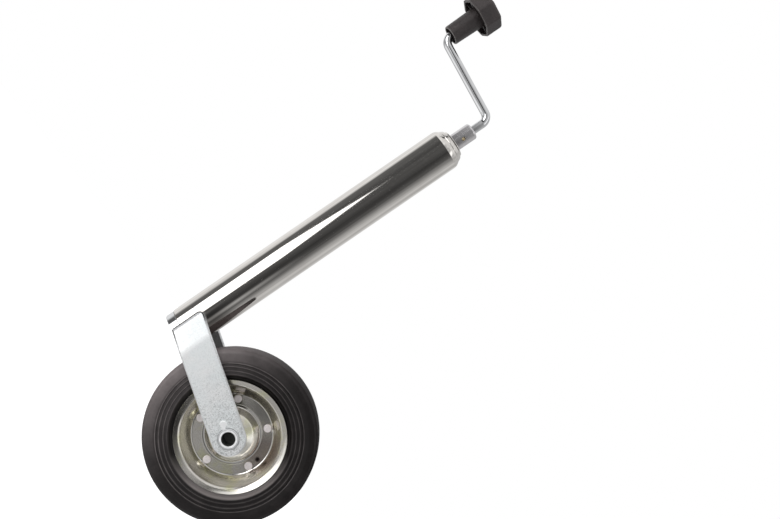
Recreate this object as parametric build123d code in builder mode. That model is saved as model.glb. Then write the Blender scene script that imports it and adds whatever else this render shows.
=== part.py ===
from build123d import *
from math import acos, atan2, cos, degrees, hypot, radians, sin, tan
import os

os.makedirs("parts", exist_ok=True)

# Jockey wheel with a cranked screw lift. All sizes are in millimetres and degrees.
# The stem stands along +Z with the lower end of its outer tube at Z = 0.
# The fork reaches towards +X, the wheel's axle lies along Y, and the crank arm points to -X.

# Stem
stem_od = 48.0
stem_wall = 2.5
stem_length = 370.0
lip_radius = 9.0
lip_angle = 75.0
edge_break = 0.6

# Sliding tube, with a rolled bead above and below the nut
inner_od = 42.2
inner_wall = 2.5
inner_head_gap = 2.6
bead_radius = 2.0
bead_depth = 1.2
nut_height = 30.0
nut_setback = 8.0
nut_play = 0.2

# Screw lift
lead = 4.0
crank_turns = 50.5
screw_od = 16.0
journal_od = 12.0
collar_od = 28.0
collar_thickness = 5.0
stop_ring_od = 26.0
stop_ring_thickness = 5.0
stop_ring_rise = 4.0
stop_margin = 3.0

# Thrust bearing and end plate
plate_drop = 6.0
plate_rim_step = 0.4
plate_boss_gap = 0.5
race_od = 32.0
race_thickness = 3.0
ball_diameter = 5.0
ball_count = 10
ball_circle = 23.0
groove_clearance = 0.1
groove_depth = 0.8
bearing_play = 0.3
top_washer_od = 32.0
top_washer_thickness = 2.5

# Coupling between spindle and crank
sleeve_od = 20.0
sleeve_length = 26.4
sleeve_gap = 0.2
sleeve_rounding = 2.4
sleeve_web = 2.0
crank_socket = 8.7
pin_od = 4.6
pin_bore = 3.0
pin_slot = 1.0
pin_rise = 11.0
pin_turn = 17.0
pin_recess = 0.6

# Crank
crank_rod_od = 10.0
crank_throw = 104.0
crank_first_rise = 22.3
crank_arm_rise = 14.6
crank_bend = 10.0
swage_od = 14.0
swage_width = 3.0

# Knob
grip_start_rise = 4.4
grip_od_bottom = 22.8
grip_od_top = 24.4
grip_mouth_bore = 18.8
grip_mouth_depth = 12.0
knob_skirt_rise = 35.0
knob_across_corners = 50.0
knob_height = 21.0
knob_corner_rounding = 4.0
knob_edge_rounding = 2.6
knob_wall = 2.6
knob_roof = 6.0
knob_rib = 2.0
knob_rib_count = 8
knob_rib_setback = 3.0
knob_recess = 18.4
knob_plug_thickness = 2.4
retainer_od = 16.0
retainer_thickness = 1.2
rod_stub = 1.2

# Wheel
wheel_offset = 131.0
wheel_drop = 25.7
wheel_radius = 100.0
tyre_width = 50.0
tyre_crown = 1.2
tyre_shoulder = 6.0
tyre_bead_radius = 51.0
# Steps down the tyre's side: depth in from the side, and share of the way from rim to tread
tyre_steps = [
    (0.0, 0.700),
    (0.4, 0.536),
    (1.4, 0.520),
    (1.4, 0.503),
    (0.6, 0.486),
    (0.6, 0.425),
    (1.8, 0.397),
    (1.8, 0.285),
    (2.8, 0.263),
    (2.6, 0.162),
    (6.0, 0.089),
    (7.1, 0.020),
    (7.5, -0.150),
]
rim_radius = 64.2
rim_half_width = 21.6
rim_sheet = 2.0
rim_lip_height = 6.6
rim_lip_lean = 1.8
ring_land_outer = 1.8
ring_land_inner = 4.9
dish_od = 47.0
dish_half_width = 13.0
hub_seat_half_width = 16.0
disc_bends = [5.0, 2.5, 4.0, 6.0]
rivet_circle = 82.0
rivet_count = 5
rivet_phase = -7.6
rivet_shank = 6.0
rivet_head = 9.2
rivet_head_height = 2.0
locating_hole = 4.0
locating_phase = 10.2
hub_od = 27.0
hub_wall = 2.0
hub_length = 52.0
bush_length = 16.0
bush_flange = 1.0
wheel_end_play = 0.2

# Fork and axle
arm_width = 40.0
arm_thickness = 5.0
arm_slope = 15.2
arm_inside = 28.0
arm_end_x = -5.1
arm_bend_x = 24.0
arm_bend_radius = 14.0
arm_top_rounding = 8.0
arm_foot_rounding = 3.0
arm_swing_gap = 0.6
axle_od = 20.0
axle_bore = 16.0
axle_bore_depth = 20.0
axle_head_od = 22.8
axle_head_height = 1.4
axle_washer_od = 30.0
crown_od = 46.8
crown_height = 10.5
crown_gap = 0.5
crown_spigot = 18.0
lug_start = -1.0
lug_end = 14.0
weld_leg = 3.5
weld_end_gap = 1.0

# Clearances
running = 0.06
free_gap = 0.6

# Places worked out from the sizes above
stem_r = stem_od / 2
stem_bore_r = stem_r - stem_wall
lip_inner_radius = lip_radius - stem_wall
lip_x = stem_r - lip_radius
lip_z = stem_length - lip_radius * sin(radians(lip_angle))
lip_mouth_r = lip_x + lip_inner_radius * cos(radians(lip_angle))
lip_under_z = lip_z + lip_inner_radius * sin(radians(lip_angle))

plate_bottom = lip_z - plate_drop
plate_top = stem_length - plate_rim_step
plate_bore_r = journal_od / 2 + running
washer_top = plate_top + top_washer_thickness
groove_radius = ball_diameter / 2 + groove_clearance
ball_pitch_r = ball_circle / 2
fixed_race_bottom = plate_bottom - race_thickness
ball_z = fixed_race_bottom + groove_depth - ball_diameter / 2
turning_race_top = ball_z - ball_diameter / 2 - bearing_play + groove_depth
collar_top = turning_race_top - race_thickness
collar_bottom = collar_top - collar_thickness
inner_top = collar_bottom - inner_head_gap
nut_top = inner_top - nut_setback
nut_bottom = nut_top - nut_height
travel = crank_turns * lead
spindle_bottom = nut_bottom - travel - stop_margin - stop_ring_thickness - stop_ring_rise

sleeve_bottom = washer_top + sleeve_gap
sleeve_top = sleeve_bottom + sleeve_length
crank_bottom = sleeve_top - crank_socket
spindle_top = crank_bottom - sleeve_web
pin_z = sleeve_bottom + pin_rise

crank_bend_z = sleeve_top + crank_first_rise
handle_bend_z = crank_bend_z + crank_arm_rise
grip_bottom = handle_bend_z + grip_start_rise
grip_bore_bottom = grip_bottom + grip_mouth_depth
swage_top = grip_bore_bottom - running
knob_skirt_z = grip_bottom + knob_skirt_rise
knob_top = knob_skirt_z + knob_height
knob_ceiling = knob_top - knob_roof
retainer_bottom = knob_ceiling + 2 * running
crank_rod_top = retainer_bottom + retainer_thickness + rod_stub
grip_bore_r = crank_rod_od / 2 + running

wheel_x = wheel_offset
wheel_z = -wheel_drop
wheel_profile = Plane(origin=(wheel_x, 0, wheel_z), x_dir=(0, 1, 0), z_dir=(1, 0, 0))
wheel_face = Plane(origin=(wheel_x, 0, wheel_z), x_dir=(1, 0, 0), z_dir=(0, -1, 0))
wheel_axis = Axis((wheel_x, 0, wheel_z), (0, 1, 0))
handle_profile = Plane(origin=(-crank_throw, 0, 0), x_dir=(1, 0, 0), z_dir=(0, -1, 0))
handle_axis = Axis((-crank_throw, 0, 0), (0, 0, 1))
pin_direction = (sin(radians(pin_turn)), -cos(radians(pin_turn)), 0)
pin_plane = Plane(origin=(0, 0, pin_z), x_dir=(0, 0, 1), z_dir=pin_direction)

inner_r = inner_od / 2
inner_bore_r = inner_r - inner_wall
crown_top = -crown_gap
crown_bottom = crown_top - crown_height
swing_r = stem_r + arm_swing_gap
arm_tilt = degrees(acos(swing_r / hypot(arm_bend_x, arm_inside)) - atan2(arm_bend_x, arm_inside))


def arm_inner_y(x):
    """Distance of an arm's inner face from the middle plane, where it leans in to the tube."""
    return arm_inside - (arm_bend_x - x) * tan(radians(arm_tilt))


# Outer tube, its top rolled in over the end plate
with BuildPart() as outer_tube:
    with BuildSketch(Plane.XZ):
        with BuildLine():
            outside = Line((stem_r, 0), (stem_r, lip_z))
            roll = CenterArc((lip_x, lip_z), lip_radius, 0, lip_angle)
            roll_inside = CenterArc((lip_x, lip_z), lip_inner_radius, 0, lip_angle)
            Line(roll @ 1, roll_inside @ 1)
            bore_line = Line(roll_inside @ 0, (stem_bore_r, 0))
            Line(bore_line @ 1, outside @ 0)
        make_face()
    revolve(axis=Axis.Z)
    chamfer(outer_tube.edges().group_by(Axis.Z)[0].sort_by(SortBy.RADIUS)[0], edge_break)
outer_tube.part.label = "outer_tube"
export_step(outer_tube.part, "parts/outer_tube.step")

# End plate: its shoulder follows the underside of the rolled lip
with BuildPart() as end_plate:
    with BuildSketch(Plane.XZ):
        with BuildLine():
            bore_edge = Line((plate_bore_r, plate_top), (plate_bore_r, plate_bottom))
            bottom_edge = Line(bore_edge @ 1, (stem_bore_r, plate_bottom))
            rim_edge = Line(bottom_edge @ 1, (stem_bore_r, lip_z))
            shoulder = CenterArc((lip_x, lip_z), lip_inner_radius, 0, lip_angle)
            step = Line(shoulder @ 1, (lip_mouth_r - plate_boss_gap, lip_under_z))
            boss = Line(step @ 1, (lip_mouth_r - plate_boss_gap, plate_top))
            Line(boss @ 1, bore_edge @ 0)
        make_face()
    revolve(axis=Axis.Z)
end_plate.part.label = "end_plate"
export_step(end_plate.part, "parts/end_plate.step")

# Thin washer between the end plate and the coupling
with BuildPart() as top_washer:
    with BuildSketch(Plane.XY.offset(plate_top)):
        Circle(top_washer_od / 2)
        Circle(journal_od / 2 + free_gap, mode=Mode.SUBTRACT)
    extrude(amount=top_washer_thickness)
    chamfer(top_washer.edges().group_by(Axis.Z)[-1].sort_by(SortBy.RADIUS)[-1], edge_break)
top_washer.part.label = "top_washer"
export_step(top_washer.part, "parts/top_washer.step")

# Thrust races, each with a round groove that the balls run in
with BuildPart() as thrust_race_fixed:
    with BuildSketch(Plane.XY.offset(fixed_race_bottom)):
        Circle(race_od / 2)
        Circle(journal_od / 2 + free_gap, mode=Mode.SUBTRACT)
    extrude(amount=race_thickness)
    with BuildSketch(Plane.XZ):
        with Locations((ball_pitch_r, fixed_race_bottom + groove_depth - groove_radius)):
            Circle(groove_radius)
    revolve(axis=Axis.Z, mode=Mode.SUBTRACT)
thrust_race_fixed.part.label = "thrust_race_fixed"
export_step(thrust_race_fixed.part, "parts/thrust_race_fixed.step")

with BuildPart() as thrust_race_turning:
    with BuildSketch(Plane.XY.offset(turning_race_top)):
        Circle(race_od / 2)
        Circle(journal_od / 2, mode=Mode.SUBTRACT)
    extrude(amount=-race_thickness)
    with BuildSketch(Plane.XZ):
        with Locations((ball_pitch_r, turning_race_top - groove_depth + groove_radius)):
            Circle(groove_radius)
    revolve(axis=Axis.Z, mode=Mode.SUBTRACT)
thrust_race_turning.part.label = "thrust_race_turning"
export_step(thrust_race_turning.part, "parts/thrust_race_turning.step")

with BuildPart() as thrust_balls:
    with Locations((0, 0, ball_z)):
        with PolarLocations(ball_pitch_r, ball_count):
            Sphere(ball_diameter / 2)
thrust_balls.part.label = "thrust_balls"
export_step(thrust_balls.part, "parts/thrust_balls.step")

# Spindle: screw below the thrust collar, plain journal above it
with BuildPart() as spindle:
    with BuildSketch(Plane.XY.offset(spindle_bottom)):
        Circle(screw_od / 2)
    extrude(amount=collar_bottom - spindle_bottom)
    chamfer(spindle.edges().group_by(Axis.Z)[0], screw_od / 10)
    with BuildSketch(Plane.XY.offset(collar_bottom)):
        Circle(collar_od / 2)
    extrude(amount=collar_thickness)
    with BuildSketch(Plane.XY.offset(collar_top)):
        Circle(journal_od / 2)
    extrude(amount=spindle_top - collar_top)
    with BuildSketch(pin_plane):
        Circle(pin_od / 2)
    extrude(amount=sleeve_od, both=True, mode=Mode.SUBTRACT)
spindle.part.label = "spindle"
export_step(spindle.part, "parts/spindle.step")

# Stop ring on the lower end of the screw
with BuildPart() as spindle_stop_ring:
    with BuildSketch(Plane.XY.offset(spindle_bottom + stop_ring_rise)):
        Circle(stop_ring_od / 2)
        Circle(screw_od / 2, mode=Mode.SUBTRACT)
    extrude(amount=stop_ring_thickness)
    chamfer(spindle_stop_ring.edges().filter_by(GeomType.CIRCLE).group_by(SortBy.RADIUS)[-1], edge_break)
spindle_stop_ring.part.label = "spindle_stop_ring"
export_step(spindle_stop_ring.part, "parts/spindle_stop_ring.step")

# Coupling sleeve, bored from below for the journal and from above for the crank rod
with BuildPart() as coupling_sleeve:
    with BuildSketch(Plane.XY.offset(sleeve_bottom)):
        Circle(sleeve_od / 2)
    extrude(amount=sleeve_length)
    fillet(coupling_sleeve.edges().group_by(Axis.Z)[-1], sleeve_rounding)
    chamfer(coupling_sleeve.edges().group_by(Axis.Z)[0], edge_break)
    with BuildSketch(Plane.XY.offset(sleeve_bottom)):
        Circle(journal_od / 2)
    extrude(amount=spindle_top - sleeve_bottom, mode=Mode.SUBTRACT)
    with BuildSketch(Plane.XY.offset(crank_bottom)):
        Circle(crank_rod_od / 2)
    extrude(amount=crank_socket, mode=Mode.SUBTRACT)
    with BuildSketch(pin_plane):
        Circle(pin_od / 2)
    extrude(amount=sleeve_od, both=True, mode=Mode.SUBTRACT)
coupling_sleeve.part.label = "coupling_sleeve"
export_step(coupling_sleeve.part, "parts/coupling_sleeve.step")

# Slotted spring pin through sleeve and journal
with BuildPart() as coupling_pin:
    with BuildSketch(pin_plane):
        Circle(pin_od / 2)
        Circle(pin_bore / 2, mode=Mode.SUBTRACT)
        with Locations((pin_od / 2, 0)):
            Rectangle(pin_od, pin_slot, mode=Mode.SUBTRACT)
    extrude(amount=sleeve_od / 2 - pin_recess, both=True)
coupling_pin.part.label = "coupling_pin"
export_step(coupling_pin.part, "parts/coupling_pin.step")

# Crank: one round rod with two bends, and a swaged stop under the grip
with BuildPart() as crank_rod:
    with BuildLine(Plane.XZ) as crank_path:
        FilletPolyline(
            (0, crank_bottom),
            (0, crank_bend_z),
            (-crank_throw, handle_bend_z),
            (-crank_throw, crank_rod_top),
            radius=crank_bend,
        )
    with BuildSketch(Plane.XY.offset(crank_bottom)):
        Circle(crank_rod_od / 2)
    sweep()
    with BuildSketch(Plane.XY.offset(swage_top - swage_width)):
        with Locations((-crank_throw, 0)):
            Circle(swage_od / 2)
    extrude(amount=swage_width)
    level_circles = crank_rod.edges().filter_by(GeomType.CIRCLE).filter_by(Plane.XY)
    chamfer(level_circles.group_by(SortBy.RADIUS)[-1], edge_break)
crank_rod.part.label = "crank_rod"
export_step(crank_rod.part, "parts/crank_rod.step")

# Star washer pressed on the end of the rod
with BuildPart() as knob_retainer:
    with BuildSketch(Plane.XY.offset(retainer_bottom)):
        with Locations((-crank_throw, 0)):
            Circle(retainer_od / 2)
            Circle(crank_rod_od / 2, mode=Mode.SUBTRACT)
    extrude(amount=retainer_thickness)
knob_retainer.part.label = "knob_retainer"
export_step(knob_retainer.part, "parts/knob_retainer.step")

# Knob: a tapered grip under an eight-sided head that is hollow and ribbed underneath
with BuildPart() as knob:
    with BuildSketch(Plane.XY.offset(knob_skirt_z)):
        with Locations((-crank_throw, 0)):
            RegularPolygon(knob_across_corners / 2, 8)
        fillet(vertices(), knob_corner_rounding)
    extrude(amount=knob_height)
    fillet(knob.faces().sort_by(Axis.Z)[-1].edges(), knob_edge_rounding)
    with BuildSketch(Plane.XY.offset(knob_skirt_z)):
        with Locations((-crank_throw, 0)):
            RegularPolygon(knob_across_corners / 2 - knob_wall, 8)
        fillet(vertices(), knob_corner_rounding - knob_wall / 2)
    extrude(amount=knob_height - knob_roof, mode=Mode.SUBTRACT)
    with BuildSketch(Plane.XY.offset(knob_skirt_z + knob_rib_setback)):
        with Locations((-crank_throw, 0)):
            with PolarLocations(0, knob_rib_count, start_angle=180 / knob_rib_count):
                with Locations((knob_across_corners / 4, 0)):
                    Rectangle(knob_across_corners / 2 - knob_wall, knob_rib)
    extrude(amount=knob_height - knob_roof - knob_rib_setback)
    with BuildSketch(handle_profile):
        with BuildLine():
            Polyline(
                (0, grip_bottom),
                (grip_od_bottom / 2, grip_bottom),
                (grip_od_top / 2, knob_skirt_z),
                (grip_od_top / 2, knob_ceiling),
                (0, knob_ceiling),
                close=True,
            )
        make_face()
    revolve(axis=handle_axis)
    fillet(knob.edges().group_by(Axis.Z)[0], edge_break)
    with BuildSketch(Plane.XY.offset(grip_bottom)):
        with Locations((-crank_throw, 0)):
            Circle(grip_mouth_bore / 2)
    extrude(amount=grip_mouth_depth, mode=Mode.SUBTRACT)
    with BuildSketch(Plane.XY.offset(grip_bottom)):
        with Locations((-crank_throw, 0)):
            Circle(grip_bore_r)
    extrude(amount=knob_ceiling - grip_bottom, mode=Mode.SUBTRACT)
    with BuildSketch(Plane.XY.offset(knob_ceiling)):
        with Locations((-crank_throw, 0)):
            Circle(knob_recess / 2)
    extrude(amount=knob_roof, mode=Mode.SUBTRACT)
knob.part.label = "knob"
export_step(knob.part, "parts/knob.step")

# Plug that closes the knob's top
with BuildPart() as knob_plug:
    with BuildSketch(Plane.XY.offset(knob_top)):
        with Locations((-crank_throw, 0)):
            Circle(knob_recess / 2)
    extrude(amount=-knob_plug_thickness)
knob_plug.part.label = "knob_plug"
export_step(knob_plug.part, "parts/knob_plug.step")

# Lifting nut, chamfered to sit between the two beads of the sliding tube
with BuildPart() as spindle_nut:
    with BuildSketch(Plane.XY.offset(nut_bottom)):
        Circle(inner_bore_r - running)
    extrude(amount=nut_height)
    chamfer(spindle_nut.edges().filter_by(GeomType.CIRCLE), bead_depth)
    with BuildSketch(Plane.XY.offset(nut_bottom)):
        Circle(screw_od / 2 + running)
    extrude(amount=nut_height, mode=Mode.SUBTRACT)
spindle_nut.part.label = "spindle_nut"
export_step(spindle_nut.part, "parts/spindle_nut.step")

# Sliding tube: each bead is a groove outside and a ridge inside, so the wall keeps its thickness
bead_heights = [nut_top + bead_radius + nut_play, nut_bottom - bead_radius - nut_play]
with BuildPart() as inner_tube:
    with BuildSketch(Plane.XY.offset(crown_top)):
        Circle(inner_r)
        Circle(inner_bore_r, mode=Mode.SUBTRACT)
    extrude(amount=inner_top - crown_top)
    with BuildSketch(Plane.XZ):
        for bead_z in bead_heights:
            with Locations((inner_bore_r + bead_radius - bead_depth, bead_z)):
                Circle(bead_radius)
    revolve(axis=Axis.Z)
    with BuildSketch(Plane.XZ):
        for bead_z in bead_heights:
            with Locations((inner_r + bead_radius - bead_depth, bead_z)):
                Circle(bead_radius)
    revolve(axis=Axis.Z, mode=Mode.SUBTRACT)
inner_tube.part.label = "inner_tube"
export_step(inner_tube.part, "parts/inner_tube.step")

# Crown: closes the sliding tube and carries the arms on two lugs
with BuildPart() as fork_crown:
    with BuildSketch(Plane.XY.offset(crown_bottom)):
        Circle(crown_od / 2)
        with BuildLine():
            Polyline(
                (lug_start, -arm_inner_y(lug_start)),
                (lug_end, -arm_inner_y(lug_end)),
                (lug_end, arm_inner_y(lug_end)),
                (lug_start, arm_inner_y(lug_start)),
                close=True,
            )
        make_face()
    extrude(amount=crown_height)
    chamfer(fork_crown.edges().group_by(Axis.Z)[0], edge_break)
    with BuildSketch(Plane.XY.offset(crown_top)):
        Circle(inner_bore_r)
    extrude(amount=crown_spigot)
    chamfer(fork_crown.edges().group_by(Axis.Z)[-1], 2 * edge_break)
fork_crown.part.label = "fork_crown"
export_step(fork_crown.part, "parts/fork_crown.step")

# Fork arms: flat bar with a round end at the axle, cut off parallel to the stem and leaning in to it
arm_reach = wheel_x - arm_end_x
arm_up = Vector(sin(radians(arm_slope)), cos(radians(arm_slope))) * (arm_width / 2)
arm_axle = Vector(wheel_x, wheel_z)
arm_end_mid = wheel_z + arm_reach * tan(radians(arm_slope))
arm_end_half = arm_width / 2 / cos(radians(arm_slope))
with BuildPart() as fork_arm_front:
    with BuildSketch(Plane.XZ):
        with BuildLine():
            upper = Line((arm_end_x, arm_end_mid + arm_end_half), arm_axle + arm_up)
            nose = arm_axle + arm_up.rotate(Axis.Z, -90)
            ThreePointArc(arm_axle + arm_up, nose, arm_axle - arm_up)
            lower = Line(arm_axle - arm_up, (arm_end_x, arm_end_mid - arm_end_half))
            Line(lower @ 1, upper @ 0)
        make_face()
        fillet(vertices().group_by(Axis.X)[0].sort_by(Axis.Y)[-1], arm_top_rounding)
        fillet(vertices().group_by(Axis.X)[0].sort_by(Axis.Y)[0], arm_foot_rounding)
        with Locations((wheel_x, wheel_z)):
            Circle(axle_od / 2, mode=Mode.SUBTRACT)
    extrude(amount=arm_inside + 2 * arm_thickness)
    with BuildSketch(Plane.XY.offset(-wheel_radius)):
        with BuildLine():
            inner_face = FilletPolyline(
                (wheel_x + arm_width, -arm_inside),
                (arm_bend_x, -arm_inside),
                (arm_end_x - arm_thickness, -arm_inner_y(arm_end_x - arm_thickness)),
                radius=arm_bend_radius,
            )
            offset(inner_face, amount=arm_thickness, side=Side.LEFT, closed=True)
        make_face()
    extrude(amount=2 * wheel_radius, mode=Mode.INTERSECT)
fork_arm_front.part.label = "fork_arm_front"
export_step(fork_arm_front.part, "parts/fork_arm_front.step")

with BuildPart() as fork_arm_rear:
    mirror(fork_arm_front.part, about=Plane.XZ)
fork_arm_rear.part.label = "fork_arm_rear"
export_step(fork_arm_rear.part, "parts/fork_arm_rear.step")

# Weld fillets in the corners between the lugs and the arms
with BuildPart() as fork_welds:
    with BuildSketch(Plane.XY.offset(crown_bottom + weld_end_gap)):
        for corner_x, way in ((lug_start, -1), (lug_end, 1)):
            far_x = corner_x + way * weld_leg
            with BuildLine():
                Polyline(
                    (corner_x, -arm_inner_y(corner_x)),
                    (far_x, -arm_inner_y(far_x)),
                    (corner_x, -arm_inner_y(corner_x) + weld_leg),
                    close=True,
                )
            make_face()
        mirror(about=Plane.XZ)
        Circle(crown_od / 2, mode=Mode.SUBTRACT)
    extrude(amount=crown_height - 2 * weld_end_gap)
fork_welds.part.label = "fork_welds"
export_step(fork_welds.part, "parts/fork_welds.step")

# Axle: a drilled rivet, its ends rolled over the arms
arm_outside = arm_inside + arm_thickness
axle_half = arm_outside + axle_head_height
with BuildPart() as axle:
    with BuildSketch(wheel_face):
        Circle(axle_od / 2)
    extrude(amount=axle_half, both=True)
    for side in (-1, 1):
        with BuildSketch(wheel_face.offset(side * arm_outside)):
            Circle(axle_head_od / 2)
        extrude(amount=side * axle_head_height)
        with BuildSketch(wheel_face.offset(side * axle_half)):
            Circle(axle_bore / 2)
        extrude(amount=-side * axle_bore_depth, mode=Mode.SUBTRACT)
    chamfer(axle.faces().sort_by(Axis.Y)[0].edges(), axle_head_height / 2)
    chamfer(axle.faces().sort_by(Axis.Y)[-1].edges(), axle_head_height / 2)
axle.part.label = "axle"
export_step(axle.part, "parts/axle.step")

washer_thickness = arm_inside - hub_length / 2 - bush_flange - wheel_end_play
with BuildPart() as axle_washers:
    for side in (-1, 1):
        with BuildSketch(wheel_face.offset(side * arm_inside)):
            Circle(axle_washer_od / 2)
            Circle(axle_od / 2, mode=Mode.SUBTRACT)
        extrude(amount=-side * washer_thickness)
axle_washers.part.label = "axle_washers"
export_step(axle_washers.part, "parts/axle_washers.step")

# Rim: two pressed discs, back to back on a flat riveted ring
# The line runs down the disc's open face: distance from the middle plane, then radius
with BuildLine() as disc_face:
    FilletPolyline(
        (rim_half_width, rim_radius),
        (rim_half_width - rim_lip_lean, rim_radius - rim_lip_height),
        (rim_sheet, (rivet_circle + rivet_head) / 2 + ring_land_outer),
        (rim_sheet, (rivet_circle - rivet_head) / 2 - ring_land_inner),
        (dish_half_width, dish_od / 2),
        (hub_seat_half_width, hub_od / 2),
        radius=disc_bends,
    )
with BuildLine() as disc_back:
    offset(disc_face.line, amount=rim_sheet, side=Side.RIGHT, closed=False)

with BuildPart() as rim_disc_rear:
    with BuildSketch(wheel_profile):
        with BuildLine():
            add(disc_face.line)
            add(disc_back.line)
            Line(disc_face.line @ 0, disc_back.line @ 0)
            Line(disc_face.line @ 1, disc_back.line @ 1)
        make_face()
    revolve(axis=wheel_axis)
    with BuildSketch(wheel_face):
        Circle(hub_od / 2)
        with PolarLocations(rivet_circle / 2, rivet_count, start_angle=rivet_phase):
            Circle(rivet_shank / 2)
    extrude(amount=rim_half_width, both=True, mode=Mode.SUBTRACT)
rim_disc_rear.part.label = "rim_disc_rear"
export_step(rim_disc_rear.part, "parts/rim_disc_rear.step")

# The front disc also has a small locating hole between two rivets
with BuildPart() as rim_disc_front:
    mirror(rim_disc_rear.part, about=Plane.XZ)
    with BuildSketch(wheel_face):
        with PolarLocations(rivet_circle / 2, 1, start_angle=locating_phase):
            Circle(locating_hole / 2)
    extrude(amount=rim_half_width, mode=Mode.SUBTRACT)
rim_disc_front.part.label = "rim_disc_front"
export_step(rim_disc_front.part, "parts/rim_disc_front.step")

with BuildPart() as rim_rivets:
    with BuildSketch(wheel_face):
        with PolarLocations(rivet_circle / 2, rivet_count, start_angle=rivet_phase):
            Circle(rivet_shank / 2)
    extrude(amount=rim_sheet, both=True)
    for side in (-1, 1):
        with BuildSketch(wheel_face.offset(side * rim_sheet)):
            with PolarLocations(rivet_circle / 2, rivet_count, start_angle=rivet_phase):
                Circle(rivet_head / 2)
        extrude(amount=side * rivet_head_height)
    chamfer(rim_rivets.faces().group_by(Axis.Y)[0].edges(), rivet_head_height / 2)
    chamfer(rim_rivets.faces().group_by(Axis.Y)[-1].edges(), rivet_head_height / 2)
rim_rivets.part.label = "rim_rivets"
export_step(rim_rivets.part, "parts/rim_rivets.step")

# Tyre: solid rubber with a stepped side, filling the trough between the discs
tyre_half = tyre_width / 2
tyre_corner = (tyre_half, wheel_radius - tyre_crown)
tyre_side = [
    (tyre_half - inset, rim_radius + share * (wheel_radius - rim_radius)) for inset, share in tyre_steps
]
with BuildPart() as tyre:
    with BuildSketch(wheel_profile):
        with BuildLine():
            bead_corner = (tyre_side[-1][0], tyre_bead_radius)
            Polyline(tyre_corner, *tyre_side, bead_corner, (0, tyre_bead_radius), (0, wheel_radius))
            TangentArc((0, wheel_radius), tyre_corner, tangent=(1, 0))
        make_face()
        fillet(vertices().sort_by_distance(tyre_corner)[0], tyre_shoulder)
        with BuildLine():
            add(disc_back.line)
            Polyline(disc_back.line @ 0, (tyre_width, rim_radius), (tyre_width, 0), disc_back.line @ 1)
        make_face(mode=Mode.SUBTRACT)
        mirror(about=Plane.YZ)
    revolve(axis=wheel_axis)
tyre.part.label = "tyre"
export_step(tyre.part, "parts/tyre.step")

# Hub tube and its two flanged bushes
with BuildPart() as hub_tube:
    with BuildSketch(wheel_face):
        Circle(hub_od / 2)
        Circle(hub_od / 2 - hub_wall, mode=Mode.SUBTRACT)
    extrude(amount=hub_length / 2, both=True)
hub_tube.part.label = "hub_tube"
export_step(hub_tube.part, "parts/hub_tube.step")

with BuildPart() as hub_bush_front:
    with BuildSketch(wheel_face.offset(hub_length / 2)):
        Circle(hub_od / 2 - hub_wall)
    extrude(amount=-bush_length)
    with BuildSketch(wheel_face.offset(hub_length / 2)):
        Circle(hub_od / 2)
    extrude(amount=bush_flange)
    with BuildSketch(wheel_face.offset(hub_length / 2 + bush_flange)):
        Circle(axle_od / 2 + running)
    extrude(amount=-bush_length - bush_flange, mode=Mode.SUBTRACT)
hub_bush_front.part.label = "hub_bush_front"
export_step(hub_bush_front.part, "parts/hub_bush_front.step")

with BuildPart() as hub_bush_rear:
    mirror(hub_bush_front.part, about=Plane.XZ)
hub_bush_rear.part.label = "hub_bush_rear"
export_step(hub_bush_rear.part, "parts/hub_bush_rear.step")
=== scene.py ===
import math

import bmesh
import bpy
from bpy.props import FloatProperty, FloatVectorProperty, IntProperty, PointerProperty
from mathutils import Matrix, Vector


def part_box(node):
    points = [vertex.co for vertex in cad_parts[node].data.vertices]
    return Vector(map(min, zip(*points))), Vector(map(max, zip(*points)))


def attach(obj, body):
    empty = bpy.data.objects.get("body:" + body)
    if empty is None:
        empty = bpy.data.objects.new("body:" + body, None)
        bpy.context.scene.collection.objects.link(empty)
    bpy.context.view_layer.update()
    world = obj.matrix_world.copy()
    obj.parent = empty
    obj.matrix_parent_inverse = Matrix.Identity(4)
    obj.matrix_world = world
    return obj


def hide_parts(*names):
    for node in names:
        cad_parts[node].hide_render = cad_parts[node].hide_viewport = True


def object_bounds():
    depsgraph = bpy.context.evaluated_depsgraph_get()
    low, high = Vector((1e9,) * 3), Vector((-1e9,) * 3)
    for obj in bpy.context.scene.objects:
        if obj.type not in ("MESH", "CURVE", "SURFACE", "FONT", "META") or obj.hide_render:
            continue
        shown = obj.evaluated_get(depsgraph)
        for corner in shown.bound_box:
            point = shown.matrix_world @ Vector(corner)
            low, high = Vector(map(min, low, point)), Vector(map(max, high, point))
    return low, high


bl_info = {
    "name": "Jockey wheel",
    "version": (1, 0, 0),
    "blender": (4, 5, 0),
    "location": "View3D > Sidebar > Jockey Wheel",
    "description": "Builds the looks of a jockey wheel on its packed frame",
    "category": "Object",
}

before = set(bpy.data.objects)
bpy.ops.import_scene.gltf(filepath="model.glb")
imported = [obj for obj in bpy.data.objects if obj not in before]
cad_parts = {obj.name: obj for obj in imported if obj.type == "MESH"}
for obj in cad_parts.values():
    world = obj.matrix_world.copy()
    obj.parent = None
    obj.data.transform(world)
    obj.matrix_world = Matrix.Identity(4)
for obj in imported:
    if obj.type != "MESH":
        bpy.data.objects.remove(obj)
cad_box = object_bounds()

MM = 0.001
UP = Vector((0, 0, 1))
RIGHT = Vector((1, 0, 0))
BACK = Vector((0, 1, 0))
ONE_POINT = 0.002 * MM  # points nearer than this are made one
PLAY = 0.05  # clearance, in millimetres, between pieces that fit together
ENDS = ((-1, "front"), (1, "rear"))  # sides of the wheel, along Y


def low(node):
    """Lowest corner of a CAD node, in millimetres."""
    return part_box(node)[0] / MM


def high(node):
    """Highest corner of a CAD node, in millimetres."""
    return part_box(node)[1] / MM


WHEEL = (low("axle") + high("axle")) / 2
HANDLE = (low("knob_plug") + high("knob_plug")) / 2
ROUND_AXLE = {"foot": (WHEEL.x, 0, WHEEL.z), "axis": BACK, "out": UP}
ROUND_HANDLE = {"foot": (HANDLE.x, 0, 0)}


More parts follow.
